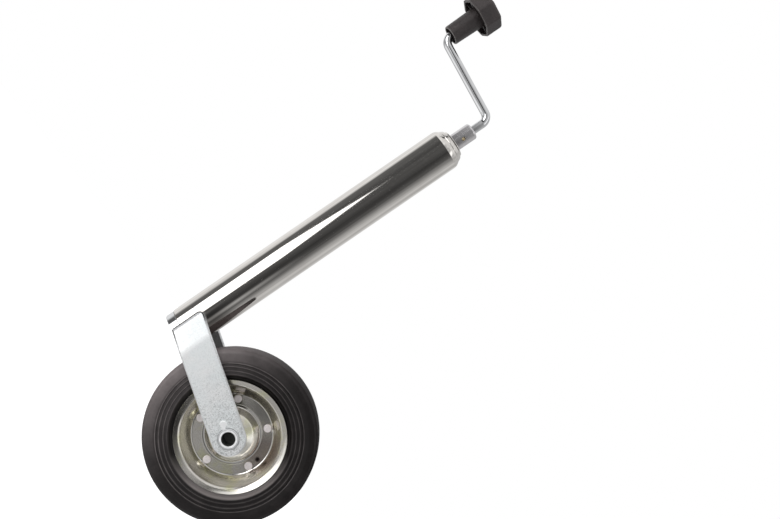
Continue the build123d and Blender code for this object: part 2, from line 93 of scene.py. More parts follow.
def millimetres(name, description, default):
    """A length that the sidebar shows as a distance, given here in millimetres."""
    return FloatProperty(name=name, description=description, default=default * MM, min=0, unit="LENGTH", precision=5)


def colour(name, description, default):
    """A surface colour for the sidebar."""
    return FloatVectorProperty(name=name, description=description, default=default, size=3, min=0, max=1,
                               subtype="COLOR")


class StemSizes(bpy.types.PropertyGroup):
    wall: millimetres("Wall", "Wall of the stem's tube", 2.5)
    lip_radius: millimetres("Lip radius", "Radius that the top edge is rolled to", 9)
    taper_start: millimetres("Taper start", "Distance from the stem's top to where its rolled end draws in", 9.6)
    edge: millimetres("Edge", "Rounding of the cut edges", 0.4)


class CrankSizes(bpy.types.PropertyGroup):
    rod: millimetres("Rod", "Diameter of the crank's rod", 10)
    bend: millimetres("Bend", "Radius of the rod's two bends, on its middle line", 10)
    sleeve_rounding: millimetres("Sleeve rounding", "Rounding of the coupling sleeve's top edge", 2.4)
    swage: millimetres("Swage", "Diameter of the stop pressed on the rod below the grip", 14)
    pin: millimetres("Pin", "Outside diameter of the cross pin", 4.6)
    pin_wall: millimetres("Pin wall", "Wall of the rolled cross pin", 0.8)


class KnobSizes(bpy.types.PropertyGroup):
    wall: millimetres("Wall", "Wall of the hollow head", 2.6)
    corner: millimetres("Corner", "Rounding of the head's eight corners", 5.5)
    top_edge: millimetres("Top edge", "Rounding of the head's top edge", 3.4)
    rib: millimetres("Rib", "Thickness of the ribs under the head", 2)
    grip_foot: millimetres("Grip foot", "Diameter of the grip at its mouth", 22.8)
    grip_neck: millimetres("Grip neck", "Diameter of the grip under the head", 24.4)
    mouth: millimetres("Mouth", "Diameter of the open mouth of the grip", 18.8)
    colour: colour("Plastic", "Colour of the moulded knob", (0.0250, 0.0204, 0.0204))


class ForkSizes(bpy.types.PropertyGroup):
    bar: millimetres("Bar width", "Width of the fork's flat bars", 40)
    thickness: millimetres("Bar thickness", "Thickness of the fork's flat bars", 5)
    slope: FloatProperty(name="Slope", description="How steeply the arms fall to the axle",
                         default=math.radians(15.2), subtype="ANGLE")
    end_rounding: millimetres("End rounding", "Rounding of the upper corner of each arm's cut end", 6)
    bend_x: millimetres("Bend place", "Distance of the arms' bend from the stem's middle line", 24)
    bead: millimetres("Weld bead", "Width of a weld bead", 3.2)
    colour: colour("Galvanised", "Colour of the galvanised arms", (0.945, 0.955, 0.96))


class WheelSizes(bpy.types.PropertyGroup):
    sheet: millimetres("Sheet", "Thickness of the pressed rim discs", 2)
    shoulder: millimetres("Shoulder", "Rounding between the tyre's tread and side", 6)
    rib_edge: millimetres("Rib edge", "Rounding of the steps moulded in the tyre's side", 0.35)
    rivet_circle: millimetres("Rivet circle", "Diameter of the circle that the rivets stand on", 82)
    rivets: IntProperty(name="Rivets", description="Rivets that hold the two discs together", default=5, min=3, max=12)
    rubber: colour("Rubber", "Colour of the tyre", (0.0075, 0.0060, 0.0060))
    plating: colour("Rim plating", "Colour of the passivated rim", (0.72, 0.692, 0.645))


class Studio(bpy.types.PropertyGroup):
    level: FloatProperty(name="Light level", description="Strength of the even light on matt surfaces", default=0.82)
    key: FloatProperty(name="Key lamp", description="Power of the large soft lamp", default=13, unit="POWER")
    lens: FloatProperty(name="Lens", description="Focal length of the camera", default=37.85, subtype="NONE")
    room_below: millimetres("Room below", "Space left under the resting wheel for winding it out", 205)


def new_object(name, bm):
    """Links a new object that holds a finished mesh."""
    mesh = bpy.data.meshes.new(name)
    bm.to_mesh(mesh)
    bm.free()
    made = bpy.data.objects.new(name, mesh)
    bpy.context.scene.collection.objects.link(made)
    return made


def new_piece(name, bm, body, slot, node, smooth=30, look=None, second_look=None, edge=None):
    """Makes a piece of a closed mesh, which rides on its body and stands for a CAD node."""
    bmesh.ops.remove_doubles(bm, verts=bm.verts, dist=ONE_POINT)
    piece = new_object(name, bm)
    mesh = piece.data
    mesh.shade_smooth()
    mesh.set_sharp_from_angle(angle=math.radians(smooth))
    mesh.materials.append((look or FINISHES[slot])())
    if second_look:
        mesh.materials.append(second_look())
    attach(piece, body)
    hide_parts(node)
    if edge:
        round_edges(piece, *edge)
    shading = piece.modifiers.new("Shading", "WEIGHTED_NORMAL")
    shading.keep_sharp = True
    return piece


def round_edges(piece, width, segments, angle):
    """Rounds edges sharper than angle with a live bevel, width in millimetres, in the last of the piece's finishes."""
    bevel = piece.modifiers.new("Edge", "BEVEL")
    bevel.width = width * MM
    bevel.segments = segments
    bevel.limit_method = "ANGLE"
    bevel.angle_limit = math.radians(angle)
    bevel.material = len(piece.data.materials) - 1


def turned(bm, line, foot=(0, 0, 0), axis=UP, out=RIGHT, steps=96, closed=True):
    """Spins a line of (radius, height, rounding) points, in millimetres, round an axis through foot."""
    earlier = set(bm.verts) | set(bm.edges)
    earlier_faces = set(bm.faces)
    degrees_per_segment = 12
    verts = [bm.verts.new((Vector(foot) + out * point[0] + axis * point[1]) * MM) for point in line]
    for pair in zip(verts, verts[1:] + verts[:1] if closed else verts[1:]):
        bm.edges.new(pair)
    for vert, point in zip(verts, line):
        if len(point) < 3 or point[2] == 0:
            continue
        before, after = [edge.other_vert(vert).co - vert.co for edge in vert.link_edges]
        turn = math.pi - before.angle(after)
        reach = min(point[2] * MM * math.tan(turn / 2), before.length * 0.49, after.length * 0.49)
        rounded(bm, [vert], reach, max(2, math.ceil(math.degrees(turn) / degrees_per_segment)), "VERTICES")
    outline = [item for item in list(bm.verts) + list(bm.edges) if item not in earlier]
    bmesh.ops.spin(bm, geom=outline, cent=Vector(foot) * MM, axis=axis, angle=2 * math.pi, steps=steps, use_merge=True)
    bmesh.ops.remove_doubles(bm, verts=bm.verts, dist=ONE_POINT)
    made = [face for face in bm.faces if face not in earlier_faces]
    bmesh.ops.recalc_face_normals(bm, faces=made)


def turned_piece(name, body, slot, node, line, around=None, steps=96, closed=True, **finishing):
    """A piece that is one turned line."""
    bm = bmesh.new()
    turned(bm, line, steps=steps, closed=closed, **(around or {}))
    return new_piece(name, bm, body, slot, node, **finishing)


def at_side(line, side):
    """A turned line on one side of the wheel's middle: -1 is the front and 1 the rear."""
    return [(radius, side * height, *rounding) for radius, height, *rounding in line]


def whole(half_line):
    """A half line, followed by itself on the other side of the middle."""
    return half_line + at_side(half_line[::-1], -1)


def rounded(bm, geom, reach, segments, affect="EDGES", clamp=False):
    """Rounds edges or corners of a mesh. The reach is in metres."""
    return bmesh.ops.bevel(bm, geom=geom, offset=reach, offset_type="OFFSET", segments=segments, profile=0.5,
                           affect=affect, material=-1, clamp_overlap=clamp)


def verts_of(geom):
    return [item for item in geom if isinstance(item, bmesh.types.BMVert)]


def edges_of(geom):
    return [item for item in geom if isinstance(item, bmesh.types.BMEdge)]


def everything(bm):
    return list(bm.verts) + list(bm.edges) + list(bm.faces)


def move(bm, verts, x=0.0, y=0.0, z=0.0):
    """Moves points by so many millimetres."""
    bmesh.ops.translate(bm, verts=verts, vec=Vector((x, y, z)) * MM)


def face_outwards(bm):
    bmesh.ops.recalc_face_normals(bm, faces=bm.faces)


def circle(bm, segments, radius, x=0.0, y=0.0, z=0.0):
    """A ring of points, in millimetres, with its edges."""
    ring = bmesh.ops.create_circle(bm, segments=segments, radius=radius * MM)["verts"]
    move(bm, ring, x, y, z)
    return ring, list(dict.fromkeys(edge for vert in ring for edge in vert.link_edges))


def raised(bm, face, height):
    """Extrudes a face along Z by a height in millimetres."""
    move(bm, verts_of(bmesh.ops.extrude_face_region(bm, geom=[face])["geom"]), z=height)


def pulled(bm, edges, way):
    """Pulls an open ring of edges along a way, in millimetres. Gives the points and edges of the new ring."""
    made = bmesh.ops.extrude_edge_only(bm, edges=edges)["geom"]
    verts = verts_of(made)
    move(bm, verts, *way)
    return verts, [edge for edge in edges_of(made) if len(edge.link_faces) < 2]


def bent(bm, edges, centre, axis, angle, steps):
    """Turns an open ring of edges round a bend. Gives the edges of the last ring."""
    verts = list(dict.fromkeys(vert for edge in edges for vert in edge.verts))
    made = bmesh.ops.spin(bm, geom=verts + edges, cent=centre * MM, axis=axis, angle=angle, steps=steps)
    return edges_of(made["geom_last"])


def drilled(bm, radius, start, end, steps=96, **around):
    """Cuts a round hole through a closed shape, from start to end along an axis, and gives what is left."""
    drill = bmesh.new()
    turned(drill, [(0, start), (radius, start), (radius, end), (0, end)], steps=steps, closed=False, **around)
    holders = blank, cutter = new_object("blank", bm), new_object("cutter", drill)
    cut = blank.modifiers.new("Cut", "BOOLEAN")
    cut.operation = "DIFFERENCE"
    cut.solver = "EXACT"
    cut.object = cutter
    bpy.context.view_layer.update()
    rest = bmesh.new()
    rest.from_object(blank, bpy.context.evaluated_depsgraph_get())
    for holder in holders:
        mesh = holder.data
        bpy.data.objects.remove(holder)
        bpy.data.meshes.remove(mesh)
    return rest


class Nodes:
    """Short ways to put nodes into one material or world. Values are in metres unless a method says otherwise."""

    def __init__(self, tree, space="Object"):
        self.tree = tree
        self.place = self.add("ShaderNodeTexCoord").outputs[space]

    def add(self, kind, **settings):
        node = self.tree.nodes.new(kind)
        for name, value in settings.items():
            setattr(node, name, value)
        return node

    def put(self, socket, value):
        """Links a socket to another one, or sets its own number or colour."""
        if isinstance(value, bpy.types.NodeSocket):
            self.tree.links.new(value, socket)
        elif socket.type == "RGBA" and len(value) == 3:
            socket.default_value = (*value, 1)
        else:
            socket.default_value = value

    def feed(self, node, **inputs):
        for name, value in inputs.items():
            self.put(node.inputs[name.replace("_", " ")], value)
        return node

    def surface(self, tint, rough, relief, **more):
        """Feeds what varies to the material's shader."""
        shader = self.tree.nodes["Principled BSDF"]
        self.feed(shader, Base_Color=tint, Roughness=rough, Normal=relief, **more)

    def math(self, operation, first, second=0.0, clamp=False):
        node = self.add("ShaderNodeMath", operation=operation, use_clamp=clamp)
        self.put(node.inputs[0], first)
        self.put(node.inputs[1], second)
        return node.outputs[0]

    def times(self, first, second):
        return self.math("MULTIPLY", first, second)

    def plus(self, total, *others):
        for value in others:
            total = self.math("ADD", total, value)
        return total

    def minus(self, first, second):
        return self.math("SUBTRACT", first, second)

    def larger(self, first, second):
        return self.math("MAXIMUM", first, second)

    def remap(self, value, low_in, high_in, low_out=0.0, high_out=1.0):
        """Maps one range onto another, and keeps to its ends beyond them."""
        node = self.add("ShaderNodeMapRange", clamp=True)
        self.feed(node, Value=value, From_Min=low_in, From_Max=high_in, To_Min=low_out, To_Max=high_out)
        return node.outputs["Result"]

    def blend(self, amount, first, second, blend_type="MIX"):
        node = self.add("ShaderNodeMix", data_type="RGBA", blend_type=blend_type)
        for number, value in ((0, amount), (6, first), (7, second)):
            self.put(node.inputs[number], value)
        return node.outputs[2]

    def coated(self, tint, *coats):
        """Lays coats over a colour, one after another. A coat is the amount that it covers and its own colour."""
        for amount, coat in coats:
            tint = self.blend(amount, tint, coat)
        return tint

    def ramp(self, value, stops):
        """Grey levels at given positions from 0 to 1."""
        node = self.add("ShaderNodeValToRGB")
        self.put(node.inputs["Fac"], value)
        elements = node.color_ramp.elements
        for number, (position, level) in enumerate(stops):
            element = elements[number] if number < 2 else elements.new(position)
            element.position = position
            element.color = (level, level, level, 1)
        return node.outputs["Color"]

    def part(self, letter):
        """X, Y or Z of the place, or of the direction in a world."""
        return self.feed(self.add("ShaderNodeSeparateXYZ"), Vector=self.place).outputs[letter]

    def scaled(self, centre, stretch):
        """The place measured from a centre, with each axis stretched."""
        node = self.add("ShaderNodeMapping", vector_type="POINT")
        location = [-along * factor for along, factor in zip(centre, stretch)]
        return self.feed(node, Vector=self.place, Location=location, Scale=stretch).outputs[0]

    def noise(self, scale, detail=4.0, roughness=0.5):
        """Noise with so many patches to the metre. Three numbers stretch it along X, Y and Z."""
        where = self.place
        if isinstance(scale, tuple):
            where, scale = self.scaled((0, 0, 0), scale), 1.0
        node = self.add("ShaderNodeTexNoise")
        return self.feed(node, Vector=where, Scale=scale, Detail=detail, Roughness=roughness).outputs["Fac"]

    def distance(self, centre, across):
        """Distance from a centre given in millimetres, measured along the axes for which across holds a one."""
        node = self.add("ShaderNodeVectorMath", operation="LENGTH")
        self.put(node.inputs[0], self.scaled(centre * MM, across))
        return node.outputs["Value"]

    def wheel_radius(self):
        return self.distance(WHEEL, (1, 0, 1))

    def rings(self, radius, *stops):
        """Grey levels at distances from the wheel's middle line, in millimetres. The ramp spans 100 mm."""
        return self.ramp(self.times(radius, 10.0), [(place / 100, level) for place, level in stops])

    def spot(self, place, reach, core=0.3):
        """One at a place, given in millimetres, fading from a core, as a share of its reach, to nothing beyond it."""
        node = self.add("ShaderNodeVectorMath", operation="DISTANCE")
        self.put(node.inputs[0], self.place)
        node.inputs[1].default_value = Vector(place) * MM
        fade = self.add("ShaderNodeMapRange", clamp=True, interpolation_type="SMOOTHSTEP")
        self.feed(fade, Value=node.outputs["Value"], From_Min=reach * core * MM, From_Max=reach * MM,
                  To_Min=1.0, To_Max=0.0)
        return fade.outputs["Result"]

    def bump(self, height, strength, depth, over=None):
        """Relief of a depth in millimetres. It adds to an earlier relief that is given as over."""
        node = self.feed(self.add("ShaderNodeBump"), Height=height, Strength=strength, Distance=depth * MM)
        if over:
            self.put(node.inputs["Normal"], over)
        return node.outputs["Normal"]

    def clouded(self, cloud, pale, dark, gloss, relief, contrast=(0.35, 0.65), fine=None, fine_gloss=None):
        """A plain finish: one noise varies its colour and roughness, and a finer one, if given, its relief."""
        cloud = self.noise(*cloud)
        fine = self.noise(*fine) if fine else cloud
        rough = self.remap(cloud, 0.3, 0.7, *gloss)
        if fine_gloss:
            rough = self.plus(rough, self.remap(fine, 0.3, 0.8, 0.0, fine_gloss))
        tint = self.coated(pale, (self.remap(cloud, *contrast), dark))
        self.surface(tint, rough, self.bump(fine, *relief))


FINISHES = {}


def node_material(name, build, **fixed):
    """A node material: build links what varies, and fixed holds what is the same all over."""
    material = bpy.data.materials.new(name)
    material.use_nodes = True
    nodes = Nodes(material.node_tree)
    nodes.feed(material.node_tree.nodes["Principled BSDF"], **fixed)
    build(nodes)
    return material


def finish(**fixed):
    """Turns a function that links nodes into one that gives its material, made once, and lists it by its name."""
    def listed(build):
        name = build.__name__ + "_finish"

        def material():
            return bpy.data.materials.get(name) or node_material(name, build, **fixed)

        FINISHES[build.__name__] = material
        return material
    return listed


def shade(tint, *amounts):
    """A colour times one amount, or times one for each of its channels."""
    return tuple(channel * amount for channel, amount in zip(tint, amounts if len(amounts) == 3 else amounts * 3))


@finish(Metallic=1.0)
def bright_plating(nodes):
    """Mirror-bright plating over drawn tube: faint lines along the stem, soft handling marks, a few scuffs and a dark
    patch of painted shade near its foot.
    """
    clean, handled = (0.88, 0.855, 0.82), (0.80, 0.77, 0.735)
    streaked, foot_shade_tint = (0.56, 0.535, 0.51), (0.20, 0.18, 0.165)
    drawn = nodes.noise((900, 900, 9), 3.0)
    marks = nodes.noise(38.0, 5.0, 0.6)
    scuffs = nodes.noise((260, 260, 110), 3.0)
    streaks = nodes.noise((420, 420, 5), 4.0, 0.65)
    # painted shade: a dark patch low on the stem's right side stands in for a dark reflection there
    foot_shade = nodes.spot((22, -9, 30), 42, 0.2)
    tint = nodes.coated(
        clean,
        (nodes.remap(marks, 0.35, 0.7), handled),
        (nodes.remap(streaks, 0.42, 0.68, 0.0, 0.6), streaked),
        (nodes.times(foot_shade, 0.85), foot_shade_tint))
    rough = nodes.plus(nodes.remap(marks, 0.3, 0.75, 0.03, 0.065), nodes.remap(drawn, 0.3, 0.8, 0.0, 0.035),
                       nodes.remap(scuffs, 0.69, 0.75, 0.0, 0.16))
    nodes.surface(tint, rough, nodes.bump(drawn, 0.05, 0.04))


@finish(Metallic=1.0)
def zinc_plating(nodes):
    """Bright zinc on drawn rod and turned parts."""
    nodes.clouded((45.0, 4.0, 0.6), (0.78, 0.79, 0.80), (0.70, 0.70, 0.71), gloss=(0.05, 0.08), relief=(0.04, 0.03),
                  contrast=(0.35, 0.7), fine=(160.0, 3.0), fine_gloss=0.04)


@finish(Metallic=0.9)
def turned_zinc(nodes):
    """Satin zinc over turned and pressed surfaces, with fine marks of the tool."""
    nodes.clouded((110.0, 4.0, 0.65), (0.74, 0.725, 0.735), (0.60, 0.585, 0.60), gloss=(0.08, 0.12),
                  relief=(0.03, 0.03), contrast=(0.35, 0.7), fine=((200, 200, 700), 3.0, 0.6), fine_gloss=0.04)


@finish(Metallic=0.15)
def rolled_zinc(nodes):
    """Pale zinc on the axle, rubbed bright where its ends were rolled over."""
    pale, worn, groove, rolled = (0.97, 0.98, 0.99), (0.72, 0.73, 0.74), (0.30, 0.31, 0.32), (0.66, 0.67, 0.68)
    cloud = nodes.noise(240.0, 4.0, 0.65)
    radius = nodes.wheel_radius()
    tint = nodes.coated(
        pale,
        (nodes.remap(cloud, 0.42, 0.64), worn),
        (nodes.remap(radius, 0.0101, 0.0104), groove),
        (nodes.remap(radius, 0.0106, 0.0110), rolled))
    nodes.surface(tint, nodes.remap(cloud, 0.3, 0.7, 0.20, 0.30), nodes.bump(cloud, 0.2, 0.1))


@finish(Metallic=1.0)
def yellow_zinc(nodes):
    """Yellow passivated zinc of the rolled spring pin."""
    nodes.clouded((700.0, 3.0, 0.6), (0.82, 0.74, 0.46), (0.66, 0.58, 0.50), gloss=(0.20, 0.32), relief=(0.1, 0.05))


@finish(Metallic=0.3)
def rivet_zinc(nodes):
    """Dull, faintly pink zinc on the flattened rivet heads."""
    nodes.clouded((260.0, 4.0, 0.65), (0.93, 0.88, 0.885), (0.76, 0.70, 0.70), gloss=(0.36, 0.48), relief=(0.25, 0.1))


@finish(Metallic=1.0)
def machined_steel(nodes):
    """Cut steel with a trace of oil, on the parts inside."""
    nodes.clouded((80.0, 4.0), (0.46, 0.46, 0.47), (0.34, 0.33, 0.32), gloss=(0.24, 0.38), relief=(0.2, 0.06),
                  fine=((60, 60, 1600), 2.0))


@finish(Metallic=1.0)
def bearing_steel(nodes):
    """Ground and hardened steel of the balls and races."""
    nodes.clouded((300.0, 3.0), (0.58, 0.58, 0.60), (0.50, 0.50, 0.51), gloss=(0.08, 0.16), relief=(0.04, 0.03))


@finish(Subsurface_Weight=0.05)
def bush_nylon(nodes):
    """Natural nylon, a little yellowed."""
    nodes.clouded((120.0, 4.0), (0.62, 0.59, 0.50), (0.52, 0.48, 0.39), gloss=(0.38, 0.5), relief=(0.1, 0.06),
                  contrast=(0.35, 0.7))


@finish(Metallic=0.3)
def bore_shade(nodes):
    """Unplated oily steel inside the drilled axle, painted near black as the shade deep in the bore."""
    nodes.clouded((500.0, 3.0), (0.070, 0.074, 0.070), (0.120, 0.125, 0.118), gloss=(0.5, 0.7), relief=(0.2, 0.1),
                  contrast=(0.35, 0.7))


@finish(Metallic=0.5)
def galvanised_steel(nodes):
    """Pale matt zinc on flat bar: fine dark speckle, thicker towards the axle, a run of zinc painted pale as a glint,
    painted shade on the inner side, and a painted dark band at the cut end.
    """
    fork = bpy.context.scene.jockey_fork
    zinc = tuple(fork.colour)
    fresh_zinc_glint, seam_dirt, cut_end_shade, inner_side_shade = (0.97, 0.98, 0.99), (0.20, 0.20, 0.21), (0.30, 0.30, 0.31), (0.10, 0.10, 0.10)
    x = nodes.part("X")
    fine = nodes.noise(1500.0, 3.0, 0.7)
    coarse = nodes.noise(620.0, 4.0, 0.7)
    cloud = nodes.noise(38.0, 5.0, 0.65)
    fine_specks, coarse_specks = nodes.remap(fine, 0.50, 0.60, 0.0, 0.6), nodes.remap(coarse, 0.50, 0.62, 0.0, 0.6)
    speckle = nodes.math("ADD", fine_specks, coarse_specks, clamp=True)
    worn = nodes.remap(x, 0.045, 0.135, 0.22, 1.35)
    head = high("axle").z - WHEEL.z
    seam = nodes.rings(nodes.wheel_radius(), (head - 0.1, 0), (head + 0.3, 0.75), (head + 0.7, 0.75), (head + 1.3, 0))
    bar_side = low("axle").y + 1
    blob = nodes.spot(WHEEL + Vector((-16.4, bar_side, 4.6)), 4.6, 0.7)
    neck = nodes.spot(WHEEL + Vector((-12.4, bar_side, 2.2)), 2.8, 0.6)
    run = nodes.larger(blob, neck)
    cut_end = low("fork_arm_front").x
    ragged_end_x = nodes.minus(x, nodes.times(coarse, 0.0016))
    beyond_bend = nodes.times(nodes.larger(nodes.minus(fork.bend_x, x), 0.0), math.tan(fork_tilt()))
    from_middle = nodes.plus(nodes.math("ABSOLUTE", nodes.part("Y")), beyond_bend)
    from_inside = nodes.minus(from_middle, inner_side_y() * MM)
    tint = nodes.coated(
        zinc,
        (nodes.remap(cloud, 0.38, 0.62), shade(zinc, 0.93, 0.955, 0.96)),
        (nodes.times(speckle, worn), shade(zinc, 0.44, 0.45, 0.45)),
        (seam, seam_dirt),
        # painted highlight: the run of zinc has a bump and is also painted near white as its glint
        (nodes.times(run, 0.9), fresh_zinc_glint),
        # painted shade: a dark, ragged band along the cut end of the bar
        (nodes.remap(ragged_end_x, (cut_end + 2.0) * MM, (cut_end + 2.7) * MM, 0.75, 0.0), cut_end_shade),
        # painted shade: the inner side of the bar, facing the stem and wheel, is painted dark
        (nodes.remap(from_inside, 0.0012, 0.0028, 0.78, 0.0), inner_side_shade))
    rough = nodes.plus(nodes.remap(cloud, 0.3, 0.7, 0.32, 0.40), nodes.remap(fine, 0.4, 0.7, 0.0, 0.10))
    nodes.surface(tint, rough, nodes.bump(run, 1.0, 0.6, over=nodes.bump(coarse, 0.22, 0.1)))


@finish(Metallic=0.8)
def sheared_edge(nodes):
    """The rounded edge of the galvanised bar: bright along its length, and painted dark as shade towards the end that
    the shear cut.
    """
    bright, drawn, end_shade = (0.86, 0.87, 0.88), (0.62, 0.63, 0.64), (0.13, 0.13, 0.13)
    drag = nodes.noise((500, 120, 500), 4.0, 0.7)
    # painted shade: the edge darkens towards the bar's cut end
    cut_end = nodes.remap(nodes.part("X"), 0.004, 0.014, 1.0, 0.0)
    tint = nodes.coated(bright, (nodes.remap(drag, 0.35, 0.65), drawn), (cut_end, end_shade))
    nodes.surface(tint, nodes.remap(drag, 0.3, 0.7, 0.34, 0.50), nodes.bump(drag, 0.2, 0.1))


@finish()
def rim_plating(nodes):
    """Passivated zinc on the pressed rim: satin, yellowish in patches, smoother at the bends, dented by the rivets,
    with painted highlights on the bends, the cone wall, the flange and the dome, and painted shade in dark patches, on
    the lip and round the small hole.
    """
    plating = tuple(bpy.context.scene.jockey_wheel_sizes.plating)
    bend_highlight, clean, pale = (0.90, 0.88, 0.85), (0.95, 0.92, 0.78), (0.95, 0.93, 0.86)
    hole_shade = (0.020, 0.012, 0.010)
    radius = nodes.wheel_radius()
    pressing = nodes.feed(nodes.add("ShaderNodeTexNoise", noise_dimensions="1D"), W=radius, Scale=900.0, Detail=3.0)
    cloud = nodes.noise(42.0, 5.0, 0.6)
    speckle = nodes.noise(700.0, 2.0, 0.7)
    bends = nodes.rings(radius, (31.8, 0), (32.4, 0.9), (33.2, 0.9), (34.0, 0), (45.7, 0), (46.2, 1), (47.0, 1),
                        (47.7, 0))
    wall = nodes.rings(radius, (47.0, 0), (48.5, 1), (56.0, 1), (58.0, 0))
    lip = nodes.rings(radius, (57.5, 0), (59.5, 1), (64.0, 1), (66.0, 0))
    flange = nodes.rings(radius, (60.5, 0), (62.0, 1), (66.5, 1), (68.0, 0))
    dome = nodes.rings(radius, (16.5, 0), (19.0, 1), (29.0, 1), (31.0, 0))

    def near(offset, reach, amount):
        return nodes.times(nodes.spot(WHEEL + Vector(offset), reach), amount)

    def towards_right(start, full):
        return nodes.remap(nodes.part("X"), (WHEEL.x + start) * MM, (WHEEL.x + full) * MM)

    # painted highlight: pale, less metallic patches on the flange and the dome towards +X
    highlit_patches = nodes.larger(nodes.times(flange, towards_right(34, 46)), nodes.times(dome, towards_right(9, 16)))
    tint = nodes.coated(
        plating,
        (nodes.remap(cloud, 0.46, 0.62), shade(plating, 0.98, 1.0, 0.80)),
        # painted shade: two dark patches, a reddish one on the +X side and one above the hub, stand in for dark
        # reflections
        (near((38, -2, 16), 30, 0.8), shade(plating, 0.62, 0.54, 0.52)),
        (near((-2, -2, 52), 28, 0.6), shade(plating, 0.42)),
        (nodes.remap(speckle, 0.58, 0.75, 0.0, 0.4), shade(plating, 0.5)),
        # painted highlight: bright rings along the two bends, which are also smoother
        (bends, bend_highlight),
        # painted highlight: a bright patch on the cone wall below the hub, on the stem's side
        (nodes.times(wall, near((-26, -6, -44), 34, 0.85)), clean),
        # painted shade: the lip darkened below the hub, on the stem's side
        (nodes.times(lip, near((-34, -8, -54), 44, 0.8)), shade(plating, 0.45)),
        (highlit_patches, pale),
        # painted shade in and round the small hole
        (nodes.spot(locating_hole_place() - BACK, 4.2), hole_shade))
    rough = nodes.plus(nodes.remap(cloud, 0.3, 0.7, 0.15, 0.22),
                       nodes.remap(pressing.outputs["Fac"], 0.3, 0.7, 0.0, 0.05))
    rough = nodes.times(rough, nodes.remap(bends, 0.0, 1.0, 1.0, 0.4))
    dents = 0.0
    for place in rivet_places(49.0):
        dents = nodes.plus(nodes.spot(place - BACK * 5, 7.5, 0.0), dents)
    nodes.surface(tint, rough, nodes.bump(dents, 1.0, 1.0, over=nodes.bump(cloud, 0.06, 0.1)),
                  Metallic=nodes.remap(highlit_patches, 0.0, 1.0, 1.0, 0.5))


@finish(Specular_IOR_Level=0.5)
def knob_plastic(nodes):
    """Moulded plastic with a fine spark-eroded grain, paler on the skirt and the mouth of the grip, rubbed there and
    with a painted highlight.
    """
    plastic = tuple(bpy.context.scene.jockey_knob.colour)
    rim_wear_and_highlight = (0.16, 0.15, 0.145)
    mouth = low("knob").z
    z = nodes.part("Z")
    grain = nodes.noise(1100.0, 2.0, 0.6)
    cloud = nodes.noise(90.0, 4.0, 0.6)
    # wear and a painted highlight: paler rings at the mouth and along the skirt's edge
    rubbed = nodes.ramp(nodes.remap(z, mouth * MM, (mouth + 50) * MM), [
        (0.0, 1), (0.022, 0), (0.694, 0), (0.699, 0.4), (0.710, 0.4), (0.720, 0)])
    foot = nodes.remap(z, (mouth + 2) * MM, (mouth + 3) * MM, 1.0, 0.0)
    bare = nodes.larger(foot, nodes.remap(nodes.distance(HANDLE, (1, 1, 0)), 0.018, 0.019))
    tint = nodes.coated(
        plastic,
        (nodes.remap(cloud, 0.35, 0.7), shade(plastic, 1.6)),
        (nodes.times(rubbed, bare), rim_wear_and_highlight))
    rough = nodes.plus(nodes.remap(cloud, 0.3, 0.7, 0.36, 0.46), nodes.remap(grain, 0.3, 0.8, 0.0, 0.1))
    nodes.surface(tint, rough, nodes.bump(grain, 0.25, 0.08))


